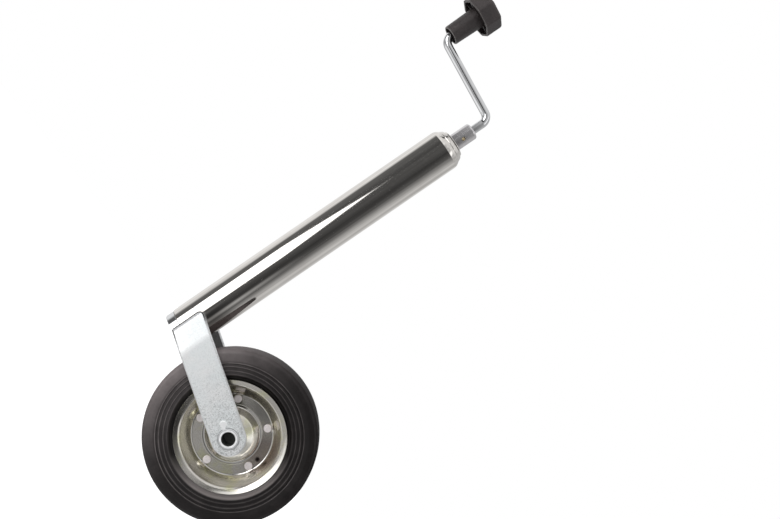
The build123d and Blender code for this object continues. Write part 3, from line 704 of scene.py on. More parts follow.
@finish()
def tyre_rubber(nodes):
    """Solid rubber with a soft sheen: mould grain, a pale dusting with painted light down one side, paler edges on its
    steps, rubbed and with a painted highlight, painted shade in the recess by the rim, and paler towards the foot of
    the recess.
    """
    rubber = tuple(bpy.context.scene.jockey_wheel_sizes.rubber)
    dusting_and_light_tint, step_wear_and_highlight, recess_foot_pale = (0.200, 0.176, 0.176), (0.20, 0.181, 0.178), (0.200, 0.180, 0.176)
    down_x, down_z = 0.824, 0.566  # the way down in the photograph, along the wheel's own axes
    radius = nodes.wheel_radius()
    x = nodes.part("X")
    grain = nodes.noise(1200.0, 3.0, 0.65)
    scuff = nodes.noise(60.0, 6.0, 0.7)
    # a pale dusting and painted light: the side grows paler towards -X, where the light falls
    side = nodes.remap(x, (WHEEL.x + 25) * MM, (WHEEL.x - 95) * MM)
    dusting_and_light = nodes.times(nodes.math("POWER", side, 2.6), nodes.remap(scuff, 0.3, 0.7, 0.75, 1.15))
    steps = nodes.rings(radius, (69.8, 0), (70.5, 0.35), (71.2, 0), (73.9, 0), (74.6, 0.8), (75.3, 0), (78.8, 0),
                        (79.5, 0.9), (80.2, 0), (82.8, 0), (83.6, 1), (84.4, 0))
    # wear and a painted highlight: pale lines on the edges of the moulded steps, stronger on the lit side
    rubbed = nodes.times(steps, nodes.remap(scuff, 0.3, 0.6, 0.4, 1.0))
    lower = nodes.minus(nodes.times(x, down_x), nodes.times(nodes.part("Z"), down_z))
    lower = nodes.minus(lower, (WHEEL.x * down_x - WHEEL.z * down_z) * MM)
    recess = nodes.remap(radius, 0.067, 0.0702, 1.0, 0.0)
    recess_foot = nodes.remap(radius, 0.0695, 0.0715, 1.0, 0.0)
    tint = nodes.coated(
        rubber,
        (nodes.remap(scuff, 0.42, 0.75), shade(rubber, 2.0)),
        (nodes.times(dusting_and_light, nodes.remap(radius, 0.0840, 0.0865, 0.35, 1.0)), dusting_and_light_tint),
        (nodes.times(rubbed, nodes.remap(side, 0.1, 0.8, 0.40, 1.0)), step_wear_and_highlight),
        # painted shade: the recess by the rim is darkened, most on its upper side
        (nodes.times(recess, nodes.remap(lower, -0.010, 0.045, 0.9, 0.0)), shade(rubber, 0.4)),
        # paler towards the bottom of the recess
        (nodes.times(recess_foot, nodes.remap(lower, 0.020, 0.055, 0.0, 0.85)), recess_foot_pale))
    tread_start, tread = 0.095, 0.0985
    rough = nodes.plus(nodes.remap(scuff, 0.3, 0.7, 0.28, 0.34), nodes.remap(grain, 0.3, 0.8, 0.0, 0.06),
                       nodes.remap(radius, tread_start, tread, 0.0, 0.35))
    relief = nodes.bump(nodes.plus(grain, nodes.times(scuff, 0.6)), 0.25, 0.1)
    nodes.surface(tint, rough, relief, Specular_IOR_Level=nodes.remap(radius, tread_start, tread, 0.38, 0.10))


def inner_side_y():
    """Distance of the fork arms' inner sides from the middle, along the axle."""
    return -low("fork_arm_front").y - bpy.context.scene.jockey_fork.thickness / MM


def fork_tilt():
    """How far the arms turn in beyond their bend, so that they just touch the swinging room round the stem."""
    bend_x = bpy.context.scene.jockey_fork.bend_x / MM
    swing = high("outer_tube").x + 0.6
    return math.acos(swing / math.hypot(bend_x, inner_side_y())) - math.atan2(bend_x, inner_side_y())


def rivet_places(circle):
    """Middles of the rivets at a distance from the wheel's middle."""
    number = bpy.context.scene.jockey_wheel_sizes.rivets
    first = Matrix.Rotation(math.radians(7.6), 3, BACK) @ Vector((circle, 0, 0))
    return [WHEEL + Matrix.Rotation(-2 * math.pi * step / number, 3, BACK) @ first for step in range(number)]


def locating_hole_place():
    """Middle of the small hole in the front disc."""
    return WHEEL + Matrix.Rotation(-math.radians(10.2), 3, BACK) @ Vector((41, 0, 0))


class BuildStem(bpy.types.Operator):
    """Build the stem's tube with its rolled lip, the end plate and the washer on it"""
    bl_idname = "jockey_wheel.build_stem"
    bl_label = "Stem"

    def execute(self, context):
        sizes = context.scene.jockey_stem
        wall, lip, edge, taper = (size / MM for size in (sizes.wall, sizes.lip_radius, sizes.edge, sizes.taper_start))
        outside, top = high("outer_tube").x, high("outer_tube").z
        bore = outside - wall
        taper_z = top - taper
        roll = math.radians(75)
        roll_x, roll_z = outside - lip, top - lip * math.sin(roll)
        mouth, mouth_z = roll_x + (lip - wall) * math.cos(roll), roll_z + (lip - wall) * math.sin(roll)
        seam = [(20.95, top - 5.2, 0.5), (20.25, top - 5.0, 0.1), (20.5, top - 4.3, 0.6)]
        turned_piece("stem_tube", "outer", "bright_plating", "outer_tube", [
            (outside, 0, edge),
            (outside, taper_z, lip),
            *seam,
            (18.3, top - 0.7, 1.5),
            (roll_x + lip * math.cos(roll), roll_z + lip * math.sin(roll), edge),
            (mouth, mouth_z, edge),
            (bore, taper_z - 0.6, lip - wall),
            (bore, 0, edge),
        ], steps=192, smooth=35)

        plate_low, plate_high = low("end_plate").z, high("end_plate").z
        plate_bore = 6.06
        turned_piece("stem_end_plate", "outer", "bright_plating", "end_plate", [
            (plate_bore, plate_high, edge),
            (mouth - 0.5, plate_high, edge),
            (mouth - 0.5, mouth_z, 0.3),
            (mouth, mouth_z - 0.15),
            (bore - PLAY, taper_z - 0.75, lip - wall),
            (bore - PLAY, plate_low, edge),
            (plate_bore, plate_low, edge),
        ], steps=128)

        washer_low, washer_high = low("top_washer"), high("top_washer")
        washer_bore = 6.6
        turned_piece("stem_washer", "outer", "bright_plating", "top_washer", [
            (washer_bore, washer_high.z, 0.3),
            (washer_high.x, washer_high.z, 0.7),
            (washer_high.x, washer_low.z, 0.3),
            (washer_bore, washer_low.z, 0.3),
        ])
        return {"FINISHED"}


class BuildCrank(bpy.types.Operator):
    """Build the coupling sleeve, its cross pin and the bent crank rod"""
    bl_idname = "jockey_wheel.build_crank"
    bl_label = "Crank"

    def execute(self, context):
        sizes = context.scene.jockey_crank
        build_sleeve(sizes)
        build_rod(sizes)
        return {"FINISHED"}


def build_sleeve(sizes):
    """The sleeve, bored from below for the spindle and from above for the rod, and the spring pin across it."""
    rod, pin, pin_wall = sizes.rod / MM / 2, sizes.pin / MM / 2, sizes.pin_wall / MM
    bottom, top, outside = low("coupling_sleeve").z, high("coupling_sleeve").z, high("coupling_sleeve").x
    journal, journal_z, socket = 6, high("spindle").z, low("crank_rod").z
    bm = bmesh.new()
    turned(bm, [
        (0, journal_z),
        (journal, journal_z),
        (journal, bottom, 0.3),
        (outside, bottom, 0.6),
        (outside, top, sizes.sleeve_rounding / MM),
        (rod + PLAY, top, 0.4),
        (rod + PLAY, socket),
        (0, socket),
    ], closed=False)
    middle = (low("coupling_pin") + high("coupling_pin")) / 2
    turn = math.radians(17)
    way = Vector((math.sin(turn), -math.cos(turn), 0))
    bm = drilled(bm, pin + PLAY, -2 * outside, 2 * outside, steps=48, foot=middle, axis=way, out=UP)
    new_piece("coupling_sleeve_turned", bm, "spindle", "zinc_plating", "coupling_sleeve", look=turned_zinc,
              edge=(0.25, 2, 50))

    half = outside - 0.6
    chamfer, chamfer_length = 0.35, 0.4
    slot = math.radians(26)
    bm = bmesh.new()
    corners = [(pin, chamfer_length - half), (pin, half - chamfer_length), (pin - chamfer, half),
               (pin - pin_wall, half), (pin - pin_wall, -half), (pin - chamfer, -half)]
    verts = [bm.verts.new((middle + UP * radius + way * along) * MM) for radius, along in corners]
    face = bm.faces.new(verts)
    bmesh.ops.rotate(bm, verts=verts, cent=middle * MM, matrix=Matrix.Rotation(slot / 2, 3, way))
    bmesh.ops.spin(bm, geom=[face] + verts + list(face.edges), cent=middle * MM, axis=way,
                   angle=2 * math.pi - slot, steps=40)
    face_outwards(bm)
    new_piece("coupling_spring_pin", bm, "spindle", "machined_steel", "coupling_pin", look=yellow_zinc)


def build_rod(sizes):
    """The rod, pulled from its chamfered foot round two bends, and the stop pressed on it below the grip."""
    rod, bend, swage = sizes.rod / MM / 2, sizes.bend / MM, sizes.swage / MM / 2
    throw = -HANDLE.x
    chamfer, bend_steps = 0.4, 12
    arm_height, arm_rise = 22.9, 10.3
    socket = low("crank_rod").z
    sleeve_top = high("coupling_sleeve").z
    corner = Vector((0, 0, sleeve_top + arm_height))
    far_corner = Vector((-throw, 0, sleeve_top + arm_height + arm_rise))
    arm = (far_corner - corner).normalized()
    turn = UP.angle(arm)
    reach = bend * math.tan(turn / 2)

    bm = bmesh.new()
    _, edges = circle(bm, 48, rod - chamfer, z=socket)
    bmesh.ops.contextual_create(bm, geom=edges)
    verts, edges = pulled(bm, edges, UP * chamfer)
    wider = rod / (rod - chamfer)
    bmesh.ops.scale(bm, verts=verts, vec=Vector((wider, wider, 1)))
    _, edges = pulled(bm, edges, UP * (corner.z - reach - socket - chamfer))
    edges = bent(bm, edges, corner - UP * reach - RIGHT * bend, BACK, -turn, bend_steps)
    _, edges = pulled(bm, edges, arm * ((far_corner - corner).length - 2 * reach))
    edges = bent(bm, edges, far_corner + UP * reach + RIGHT * bend, BACK, turn, bend_steps)
    _, edges = pulled(bm, edges, UP * (high("crank_rod").z - far_corner.z - reach))
    bmesh.ops.contextual_create(bm, geom=edges)
    face_outwards(bm)

    swage_top, swage_height = low("knob").z + 12 - 0.06, 3
    turned(bm, [
        (rod - 0.5, swage_top, 0.3),
        (swage, swage_top, 0.8),
        (swage, swage_top - swage_height, 0.8),
        (rod - 0.5, swage_top - swage_height, 0.3),
    ], foot=(-throw, 0, 0), steps=64)
    new_piece("crank_bent_rod", bm, "spindle", "zinc_plating", "crank_rod")


class BuildKnob(bpy.types.Operator):
    """Build the moulded knob, hollow and ribbed under its eight-sided head, and its plug"""
    bl_idname = "jockey_wheel.build_knob"
    bl_label = "Knob"

    def execute(self, context):
        sizes = context.scene.jockey_knob
        top, mouth = high("knob").z, low("knob").z
        skirt, ceiling = mouth + 35, top - 6
        corners_r = 25
        plug_r, plug_low = (high("knob_plug").x - low("knob_plug").x) / 2, low("knob_plug").z
        stop_z, rod_bore = mouth + 12, 5.3
        foot_r, neck_r, mouth_r = (size / MM / 2 for size in (sizes.grip_foot, sizes.grip_neck, sizes.mouth))
        bm = hollow_head(sizes, corners_r, skirt, ceiling, top)
        bm = drilled(bm, plug_r + 0.15, ceiling - 0.5, top + 1, **ROUND_HANDLE)
        add_ribs(bm, sizes, corners_r, skirt + 3, ceiling + 1)
        turned(bm, [
            (foot_r, mouth, 0.9),
            (neck_r, skirt),
            (neck_r, ceiling + 1),
            (rod_bore, ceiling + 1),
            (rod_bore, stop_z, 0.3),
            (mouth_r, stop_z, 0.6),
            (mouth_r, mouth, 0.5),
        ], **ROUND_HANDLE)
        new_piece("knob_moulding", bm, "knob", "knob_plastic", "knob")
        turned_piece("knob_cap", "knob", "knob_plastic", "knob_plug", [
            (0, top - 0.1), (plug_r, top - 0.1, 0.6), (plug_r, plug_low, 0.2), (0, plug_low),
        ], around=ROUND_HANDLE, closed=False)
        return {"FINISHED"}


def hollow_head(sizes, corners_r, skirt, ceiling, top):
    """The eight-sided head, open below up to its ceiling."""
    bm = bmesh.new()
    outline, _ = circle(bm, 8, corners_r, x=HANDLE.x, z=skirt)
    rounded(bm, outline, sizes.corner * math.tan(math.pi / 8), 5, "VERTICES")
    raised(bm, bmesh.ops.contextual_create(bm, geom=list(bm.edges))["faces"][0], top - skirt)
    face_outwards(bm)
    bottom = min(bm.faces, key=lambda face: face.calc_center_median().z)
    bmesh.ops.inset_region(bm, faces=[bottom], thickness=sizes.wall, use_even_offset=True)
    bottom = min((face for face in bm.faces if len(face.verts) > 8 and face.normal.z < -0.9),
                 key=lambda face: face.calc_area())
    raised(bm, bottom, ceiling - skirt)
    if bottom.is_valid:
        bmesh.ops.delete(bm, geom=[bottom], context="FACES")
    face_outwards(bm)

    def level_edges(height):
        return [edge for edge in bm.edges if all(abs(vert.co.z - height * MM) < 1e-6 for vert in edge.verts)]

    rounded(bm, level_edges(top), sizes.top_edge, 6, clamp=True)
    upright_corner = 1
    skirt_edges = [edge for edge in level_edges(skirt) if edge.calc_face_angle(0) > upright_corner]
    rounded(bm, skirt_edges, 0.45 * MM, 3, clamp=True)
    return bm


def add_ribs(bm, sizes, corners_r, ribs_low, ribs_high):
    """Eight ribs between the grip and the flats of the head, with their lower edges rounded."""
    start, end = 11, corners_r * math.cos(math.pi / 8) - sizes.wall / MM / 2
    for number in range(8):
        made = bmesh.ops.create_cube(bm, size=1)["verts"]
        bmesh.ops.scale(bm, verts=made, vec=Vector((end - start, sizes.rib / MM, ribs_high - ribs_low)) * MM)
        lower_edges = [edge for edge in dict.fromkeys(edge for vert in made for edge in vert.link_edges)
                       if all(vert.co.z < 0 for vert in edge.verts)
                       and abs(edge.verts[0].co.y - edge.verts[1].co.y) < 1e-9]
        rim = rounded(bm, lower_edges, 0.5 * MM, 2)["verts"]
        made = list(dict.fromkeys([vert for vert in made if vert.is_valid] + list(rim)))
        move(bm, made, x=(start + end) / 2, z=(ribs_low + ribs_high) / 2)
        bmesh.ops.rotate(bm, verts=made, cent=Vector((0, 0, 0)),
                         matrix=Matrix.Rotation(math.pi * (2 * number + 1) / 8, 3, "Z"))
        move(bm, made, x=HANDLE.x)


class BuildFork(bpy.types.Operator):
    """Build the sliding tube, the crown, the two bent arms, the welds, the drilled axle and its washers"""
    bl_idname = "jockey_wheel.build_fork"
    bl_label = "Fork"

    def execute(self, context):
        sizes = context.scene.jockey_fork
        build_sliding_tube()
        for side, end in ENDS:
            build_fork_bar(sizes, side, end)
        bend_x, inner_y, tilt = sizes.bend_x / MM, inner_side_y(), math.tan(fork_tilt())
        lug_sides = [(x, inner_y - (bend_x - x) * tilt) for x in (-1.0, 14.0)]
        build_crown(lug_sides)
        build_welds(sizes, lug_sides)
        build_axle(inner_y, inner_y + sizes.thickness / MM)
        return {"FINISHED"}


SLIDING_TUBE_WALL = 2.5  # millimetres


def build_sliding_tube():
    """The tube that slides in the stem, with the two rolled beads that hold its nut."""
    bottom, top, radius = low("inner_tube").z, high("inner_tube").z, high("inner_tube").x
    bead_half, bead_depth = 2.4, 1.2
    lines = []
    for side in (radius, radius - SLIDING_TUBE_WALL):
        line = [(side, top, 0.4)]
        for bead in (high("spindle_nut").z + 2.2, low("spindle_nut").z - 2.2):
            line += [(side, bead + bead_half, 0.8), (side - bead_depth, bead, 1.4), (side, bead - bead_half, 0.8)]
        lines.append(line + [(side, bottom, 0.4)])
    outside, inside = lines
    turned_piece("sliding_tube", "lift", "zinc_plating", "inner_tube", outside + inside[::-1], steps=160)


def build_fork_bar(sizes, side, end):
    """One flat bar: its outline is rounded about the axle, bent in towards the stem, thickened and drilled."""
    half_bar, slope = sizes.bar / MM / 2, sizes.slope
    bend_x, end_x = sizes.bend_x / MM, low("fork_arm_front").x
    inner_y = inner_side_y()
    end_middle = WHEEL.z + (WHEEL.x - end_x) * math.tan(slope)
    end_half = half_bar / math.cos(slope)
    axle = Vector((WHEEL.x, -inner_y, WHEEL.z))
    bm = bmesh.new()
    start = bm.verts.new((axle + Vector((math.sin(slope), 0, math.cos(slope))) * half_bar) * MM)
    bmesh.ops.spin(bm, geom=[start], cent=axle * MM, axis=BACK, angle=math.pi, steps=40)
    last, first = sorted((vert for vert in bm.verts if len(vert.link_edges) == 1), key=lambda vert: vert.co.z)
    top, foot = [bm.verts.new(Vector((end_x, -inner_y, end_middle + half)) * MM) for half in (end_half, -end_half)]
    for pair in ((first, top), (top, foot), (foot, last)):
        bm.edges.new(pair)
    for vert, radius, turn in ((top, sizes.end_rounding, math.pi / 2 + slope), (foot, 3 * MM, math.pi / 2 - slope)):
        rounded(bm, [vert], radius * math.tan(turn / 2), 8, "VERTICES")
    bmesh.ops.contextual_create(bm, geom=list(bm.edges))
    bmesh.ops.bisect_plane(bm, geom=everything(bm), dist=1e-7, plane_co=RIGHT * bend_x * MM, plane_no=RIGHT)
    beyond = [vert for vert in bm.verts if vert.co.x < (bend_x - 0.01) * MM]
    bmesh.ops.rotate(bm, verts=beyond, cent=Vector((bend_x, -inner_y, 0)) * MM,
                     matrix=Matrix.Rotation(-fork_tilt(), 3, UP))
    face_outwards(bm)
    if sum(face.normal.y for face in bm.faces) > 0:
        bmesh.ops.reverse_faces(bm, faces=bm.faces)
    rounded(bm, [edge for edge in bm.edges if len(edge.link_faces) == 2], 3 * MM, 6)
    bmesh.ops.solidify(bm, geom=list(bm.faces), thickness=-sizes.thickness)
    face_outwards(bm)
    if side > 0:
        bmesh.ops.mirror(bm, geom=everything(bm), axis="Y", merge_dist=-1)
        bmesh.ops.delete(bm, geom=[vert for vert in bm.verts if vert.co.y < 0], context="VERTS")
        face_outwards(bm)
    bm = drilled(bm, 10.02, -60, 60, steps=64, **ROUND_AXLE)
    new_piece(f"fork_bar_{end}", bm, "leg", "galvanised_steel", f"fork_arm_{end}", edge=(1.7, 4, 50),
              second_look=sheared_edge)


def build_crown(lug_sides):
    """The plug that turns in the foot of the sliding tube, with its disc and the lug between the arms."""
    bottom, top = low("fork_crown").z, high("fork_crown").z
    disc_r, disc_top = 23.4, low("inner_tube").z
    plug_r = high("inner_tube").x - SLIDING_TUBE_WALL
    bm = bmesh.new()
    turned(bm, [
        (0, bottom),
        (disc_r, bottom, 0.8),
        (disc_r, disc_top, 0.4),
        (plug_r, disc_top),
        (plug_r, top, 1.2),
        (0, top),
    ], steps=128, closed=False)
    (rear_x, rear_y), (front_x, front_y) = lug_sides
    corners = [(rear_x, -rear_y), (rear_x, rear_y), (front_x, front_y), (front_x, -front_y)]
    lug = bm.faces.new([bm.verts.new(Vector((x, y, bottom)) * MM) for x, y in corners])
    raised(bm, lug, disc_top - bottom)
    face_outwards(bm)
    new_piece("fork_crown_block", bm, "leg", "zinc_plating", "fork_crown", edge=(0.3, 2, 60))


def build_welds(sizes, lug_sides):
    """Four upright beads along the lug's corners, rippled by the steps of the welder's hand."""
    bottom, top = low("fork_welds").z, high("fork_welds").z
    set_out, ripples, narrow = 0.9, 14, 0.86
    bm = bmesh.new()
    for (x, lug_y), way in zip(lug_sides, (-1, 1)):
        for side in (-1, 1):
            _, edges = circle(bm, 16, sizes.bead / MM / 2, x + way * set_out, side * (lug_y - set_out), bottom)
            bmesh.ops.contextual_create(bm, geom=edges)
            for ripple in range(ripples):
                verts, edges = pulled(bm, edges, UP * ((top - bottom) / ripples))
                middle = sum((vert.co for vert in verts), Vector()) / len(verts)
                size = narrow if ripple % 2 == 0 else 1 / narrow
                bmesh.ops.scale(bm, verts=verts, vec=Vector((size, size, 1)), space=Matrix.Translation(-middle))
            bmesh.ops.contextual_create(bm, geom=edges)
    face_outwards(bm)
    new_piece("fork_weld_beads", bm, "leg", "galvanised_steel", "fork_welds", smooth=60)


def build_axle(inner_y, bar_face):
    """The drilled axle with its rolled heads, and a washer inside each arm."""
    half, head_r = high("axle").y, high("axle").z - WHEEL.z
    shank, bore, depth = 10, 8, 20
    line = whole([
        (0, half - depth),
        (bore, half - depth, 1),
        (bore, half, 0.5),
        (head_r, half, 0.9),
        (head_r, bar_face, 0.2),
        (shank, bar_face),
    ])
    piece = turned_piece("axle_rivet", "leg", "zinc_plating", "axle", line, around=ROUND_AXLE, closed=False,
                         look=rolled_zinc)
    # painted shade: the inside of the bore gets a near-black finish
    piece.data.materials.append(bore_shade())
    for face in piece.data.polygons:
        place = face.center / MM - WHEEL
        if math.hypot(place.x, place.z) < bore + 0.1 and abs(place.y) < half - 0.8:
            face.material_index = 1

    washer_r, washer_thickness = 15, 0.8
    bm = bmesh.new()
    for side in (-1, 1):
        turned(bm, at_side([
            (shank + PLAY, inner_y - washer_thickness, 0.15),
            (washer_r, inner_y - washer_thickness, 0.25),
            (washer_r, inner_y, 0.25),
            (shank + PLAY, inner_y, 0.15),
        ], side), **ROUND_AXLE)
    new_piece("axle_washer_pair", bm, "leg", "zinc_plating", "axle_washers", look=turned_zinc)


RIM_R = 64.2  # radius, in millimetres, where the rim's flange meets the tyre


class BuildWheel(bpy.types.Operator):
    """Build the solid tyre, the two pressed discs, their rivets, the hub tube and its bushes"""
    bl_idname = "jockey_wheel.build_wheel"
    bl_label = "Wheel"

    def execute(self, context):
        sizes = context.scene.jockey_wheel_sizes
        build_tyre(sizes)
        for side, end in ENDS:
            build_disc(sizes, side, end)
        build_rivets(sizes)
        build_hub()
        return {"FINISHED"}


def build_tyre(sizes):
    """The solid tyre, from the middle of its tread over the moulded steps of its side to its seat on the rim."""
    radius, half = high("tyre").z - WHEEL.z - 0.04, high("tyre").y
    edge, soft_edge = sizes.rib_edge / MM, 2 * sizes.rib_edge / MM
    # How far each step is set in, its place as a share of the way from the rim to the tread, and its rounding
    side_steps = [
        (0.0, 0.700, soft_edge), (0.4, 0.536, edge), (1.4, 0.520, edge), (1.4, 0.503, edge), (0.6, 0.486, edge),
        (0.6, 0.425, edge), (1.8, 0.397, edge), (1.8, 0.285, edge), (2.8, 0.263, edge), (2.6, 0.162, soft_edge),
        (6.0, 0.089, soft_edge), (7.1, 0.020, 0),
    ]
    line = [
        (radius, 0),
        (radius - 0.35, half * 0.5, 40),
        (radius - 1.2, half, sizes.shoulder / MM),
        *((RIM_R + share * (radius - RIM_R), half - inset, rounding) for inset, share, rounding in side_steps),
        (58.0, half - 7.5),
        (51.6, 4.4),
        (51.0, 0),
    ]
    turned_piece("tyre_solid", "wheel", "tyre_rubber", "tyre", line + at_side(line[::-1][1:-1], -1),
                 around=ROUND_AXLE, steps=256, smooth=40)


def build_disc(sizes, side, end):
    """One pressed disc: flange, cone, flat ring with a small ridge, and the dome round the hub."""
    sheet, rim_half = sizes.sheet / MM, high("rim_disc_rear").y
    bm = bmesh.new()
    turned(bm, at_side([
        (RIM_R, rim_half),
        (57.6, rim_half - 1.8, 5.0),
        (47.4, sheet, 2.5),
        (35.2, sheet, 0.5),
        (34.6, sheet + 0.18, 0.3),
        (33.9, sheet + 0.12, 0.5),
        (31.5, sheet, 3.0),
        (25.4, 10.4, 7.0),
        (13.5, 16.0),
    ], side), **ROUND_AXLE, steps=192, closed=False)
    bm.normal_update()
    flattest = max(bm.faces, key=lambda face: abs(face.normal.y))
    if flattest.normal.y * side < 0:
        bmesh.ops.reverse_faces(bm, faces=bm.faces)
    bmesh.ops.solidify(bm, geom=list(bm.faces), thickness=sizes.sheet)
    if side < 0:
        bm = drilled(bm, 2, -30, 0, steps=32, foot=locating_hole_place(), axis=BACK, out=UP)
    new_piece(f"rim_pressing_{end}", bm, "wheel", "rim_plating", f"rim_disc_{end}", smooth=35, edge=(0.35, 2, 55))


def build_rivets(sizes):
    """The rivets, with flattened heads on both discs."""
    shank, head, sheet = 3, 4.6, 2.0
    half_head = [(0, 4.0), (3.9, 4.0, 0.5), (head, 3.2, 0.5), (head, sheet), (shank, sheet)]
    bm = bmesh.new()
    turned(bm, whole(half_head), foot=rivet_places(sizes.rivet_circle / MM / 2)[0], axis=BACK, out=UP, steps=40,
           closed=False)
    one_rivet = everything(bm)
    for number in range(1, sizes.rivets):
        verts = verts_of(bmesh.ops.duplicate(bm, geom=one_rivet)["geom"])
        bmesh.ops.rotate(bm, verts=verts, cent=WHEEL * MM,
                         matrix=Matrix.Rotation(-2 * math.pi * number / sizes.rivets, 3, BACK))
    new_piece("rim_rivet_heads", bm, "wheel", "rim_plating", "rim_rivets", look=rivet_zinc)


def build_hub():
    """The hub tube and the nylon bush in each of its ends."""
    half, outside = high("hub_tube").y, high("hub_tube").z - WHEEL.z
    inside, bush_bore, bush_depth, bush_flange = outside - 2, 10.06, 16, 1
    turned_piece("hub_barrel", "wheel", "rim_plating", "hub_tube", [
        (inside, -half, 0.3), (outside, -half, 0.4), (outside, half, 0.4), (inside, half, 0.3),
    ], around=ROUND_AXLE)
    for side, end in ENDS:
        turned_piece(f"hub_liner_{end}", "wheel", "bush_nylon", f"hub_bush_{end}", at_side([
            (bush_bore, half + bush_flange, 0.3),
            (outside, half + bush_flange, 0.3),
            (outside, half, 0.2),
            (inside, half),
            (inside, half - bush_depth, 0.3),
            (bush_bore, half - bush_depth, 0.3),
        ], side), around=ROUND_AXLE)


class FinishInside(bpy.types.Operator):
    """Give the screw, nut, bearing and other hidden CAD parts their metal finishes"""
    bl_idname = "jockey_wheel.finish_inside"
    bl_label = "Inside parts"

    def execute(self, context):
        finishes = {
            machined_steel: ["spindle", "spindle_stop_ring", "spindle_nut", "knob_retainer"],
            bearing_steel: ["thrust_race_fixed", "thrust_race_turning", "thrust_balls"],
        }
        for look, names in finishes.items():
            for name in names:
                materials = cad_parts[name].data.materials
                materials.clear()
                materials.append(look())
        return {"FINISHED"}


class BuildStudio(bpy.types.Operator):
    """Build the white floor, the soft lamps, the studio round the object and the camera"""
    bl_idname = "jockey_wheel.build_studio"
    bl_label = "Studio"

    def execute(self, context):
        studio = context.scene.jockey_studio
        build_floor(studio.room_below)
        build_world(studio.level)
        build_lamps(studio.key)
        build_camera(studio.lens)
        context.scene.view_settings.view_transform = "Standard"
        return {"FINISHED"}


def build_floor(room_below):
    """A white floor, low enough for the wheel wound right out, that shows only a faint shadow of the object."""
    bm = bmesh.new()
    bmesh.ops.create_circle(bm, cap_ends=True, segments=64, radius=1.8)
    bmesh.ops.translate(bm, verts=bm.verts, vec=Vector((0.05, 0, cad_box[0][2] - room_below)))
    floor = new_object("studio_floor", bm)
    floor.visible_glossy = False

    def white_paper(nodes):
        paper = nodes.noise(60.0, 3.0)
        shader = nodes.tree.nodes["Principled BSDF"]
        camera_ray = nodes.add("ShaderNodeLightPath").outputs["Is Camera Ray"]
        tint = nodes.coated((0.42, 0.42, 0.42), (nodes.remap(paper, 0.3, 0.7), (0.40, 0.40, 0.40)))
        nodes.feed(shader, Base_Color=tint, Emission_Strength=nodes.times(camera_ray, 0.82))

    floor.data.materials.append(node_material("floor_white", white_paper, Roughness=0.9, Specular_IOR_Level=0.0,
                                              Emission_Color=(1, 1, 1)))


def build_world(level):
    """White for the camera, an even level on matt surfaces, and a bright studio with dark cards in the metal.

    A direction is a bearing, in degrees from the object's front towards +X, and a rise above the horizon.
    """
    world = bpy.data.worlds.new("studio")
    bpy.context.scene.world = world
    world.use_nodes = True
    world.cycles.sampling_method = "NONE"
    nodes = Nodes(world.node_tree, "Generated")
    in_degrees = 180 / math.pi
    bearing = nodes.times(nodes.math("ARCTAN2", nodes.part("X"), nodes.times(nodes.part("Y"), -1.0)), in_degrees)
    rise = nodes.times(nodes.math("ARCSINE", nodes.part("Z")), in_degrees)

    walls = [(-180, 0.90), (180, 0.90), (-110, 0.88), (-100, 0.60), (-92, 0.16), (-84, 0.13), (-65, 0.11),
             (-49, 0.075), (-5, 0.09), (8, 0.07), (22, 0.045), (37, 0.06), (52, 0.10), (68, 0.22), (86, 0.42),
             (106, 0.60), (133, 0.50)]
    turn = nodes.plus(nodes.math("DIVIDE", bearing, 360.0), 0.5)
    base = nodes.ramp(turn, [((degrees + 180) / 360, grey) for degrees, grey in walls])
    side_away = nodes.math("ABSOLUTE", nodes.plus(bearing, -44.0))
    side_card = nodes.times(nodes.remap(side_away, 3.0, 13.0, 0.30, 0.0), nodes.remap(rise, -7.0, -1.5, 1.0, 0.0))
    foot_level = nodes.larger(nodes.remap(bearing, 30.0, 42.0, 0.42, 1.10), nodes.remap(rise, -45.0, -68.0, 0.42, 1.0))
    head_level = nodes.remap(bearing, -22.0, -12.0, 0.88, 0.52)
    right_card = nodes.times(nodes.remap(bearing, 32.0, 42.0), nodes.remap(rise, 14.0, 19.0))
    right_card = nodes.times(right_card, nodes.remap(bearing, 56.0, 64.0, 1.0, 0.0))
    lid = nodes.minus(rise, nodes.remap(bearing, 4.0, 14.0, 0.0, 18.0))

    glow_x = nodes.math("DIVIDE", nodes.minus(bearing, 2.0), 16.0)
    glow_z = nodes.math("DIVIDE", nodes.plus(rise, 21.0), 11.0)
    glow_reach = nodes.math("SQRT", nodes.plus(nodes.times(glow_x, glow_x), nodes.times(glow_z, glow_z)))
    lift = nodes.larger(nodes.plus(rise, 2.5), 0.0)
    away = nodes.math("ABSOLUTE", nodes.minus(nodes.plus(bearing, 39.0), nodes.times(lift, 0.8)))
    reach = nodes.minus(25.0, nodes.times(lift, 3.4))
    wedge = nodes.times(nodes.remap(nodes.minus(reach, away), -3.0, 3.0), nodes.remap(rise, -28.0, -18.0))
    studio = nodes.coated(
        nodes.blend(1.0, base, side_card, "ADD"),
        (nodes.remap(rise, -17.0, -24.0), foot_level),
        (nodes.remap(rise, 12.0, 15.0), head_level),
        (right_card, (1.30, 1.30, 1.30)),
        (nodes.remap(lid, 32.0, 46.0), (0.78, 0.78, 0.78)),
        (nodes.remap(glow_reach, 0.35, 1.25, 1.0, 0.0), (0.48, 0.48, 0.48)),
        (wedge, (2.8, 2.8, 2.8)))

    rays = nodes.add("ShaderNodeLightPath").outputs
    lit = nodes.blend(rays["Is Glossy Ray"], (level, level, level), studio)
    seen = nodes.larger(rays["Is Camera Ray"], rays["Is Transmission Ray"])
    background = world.node_tree.nodes["Background"]
    nodes.feed(background, Color=nodes.blend(seen, lit, (1.0, 1.0, 1.0)), Strength=1.0)


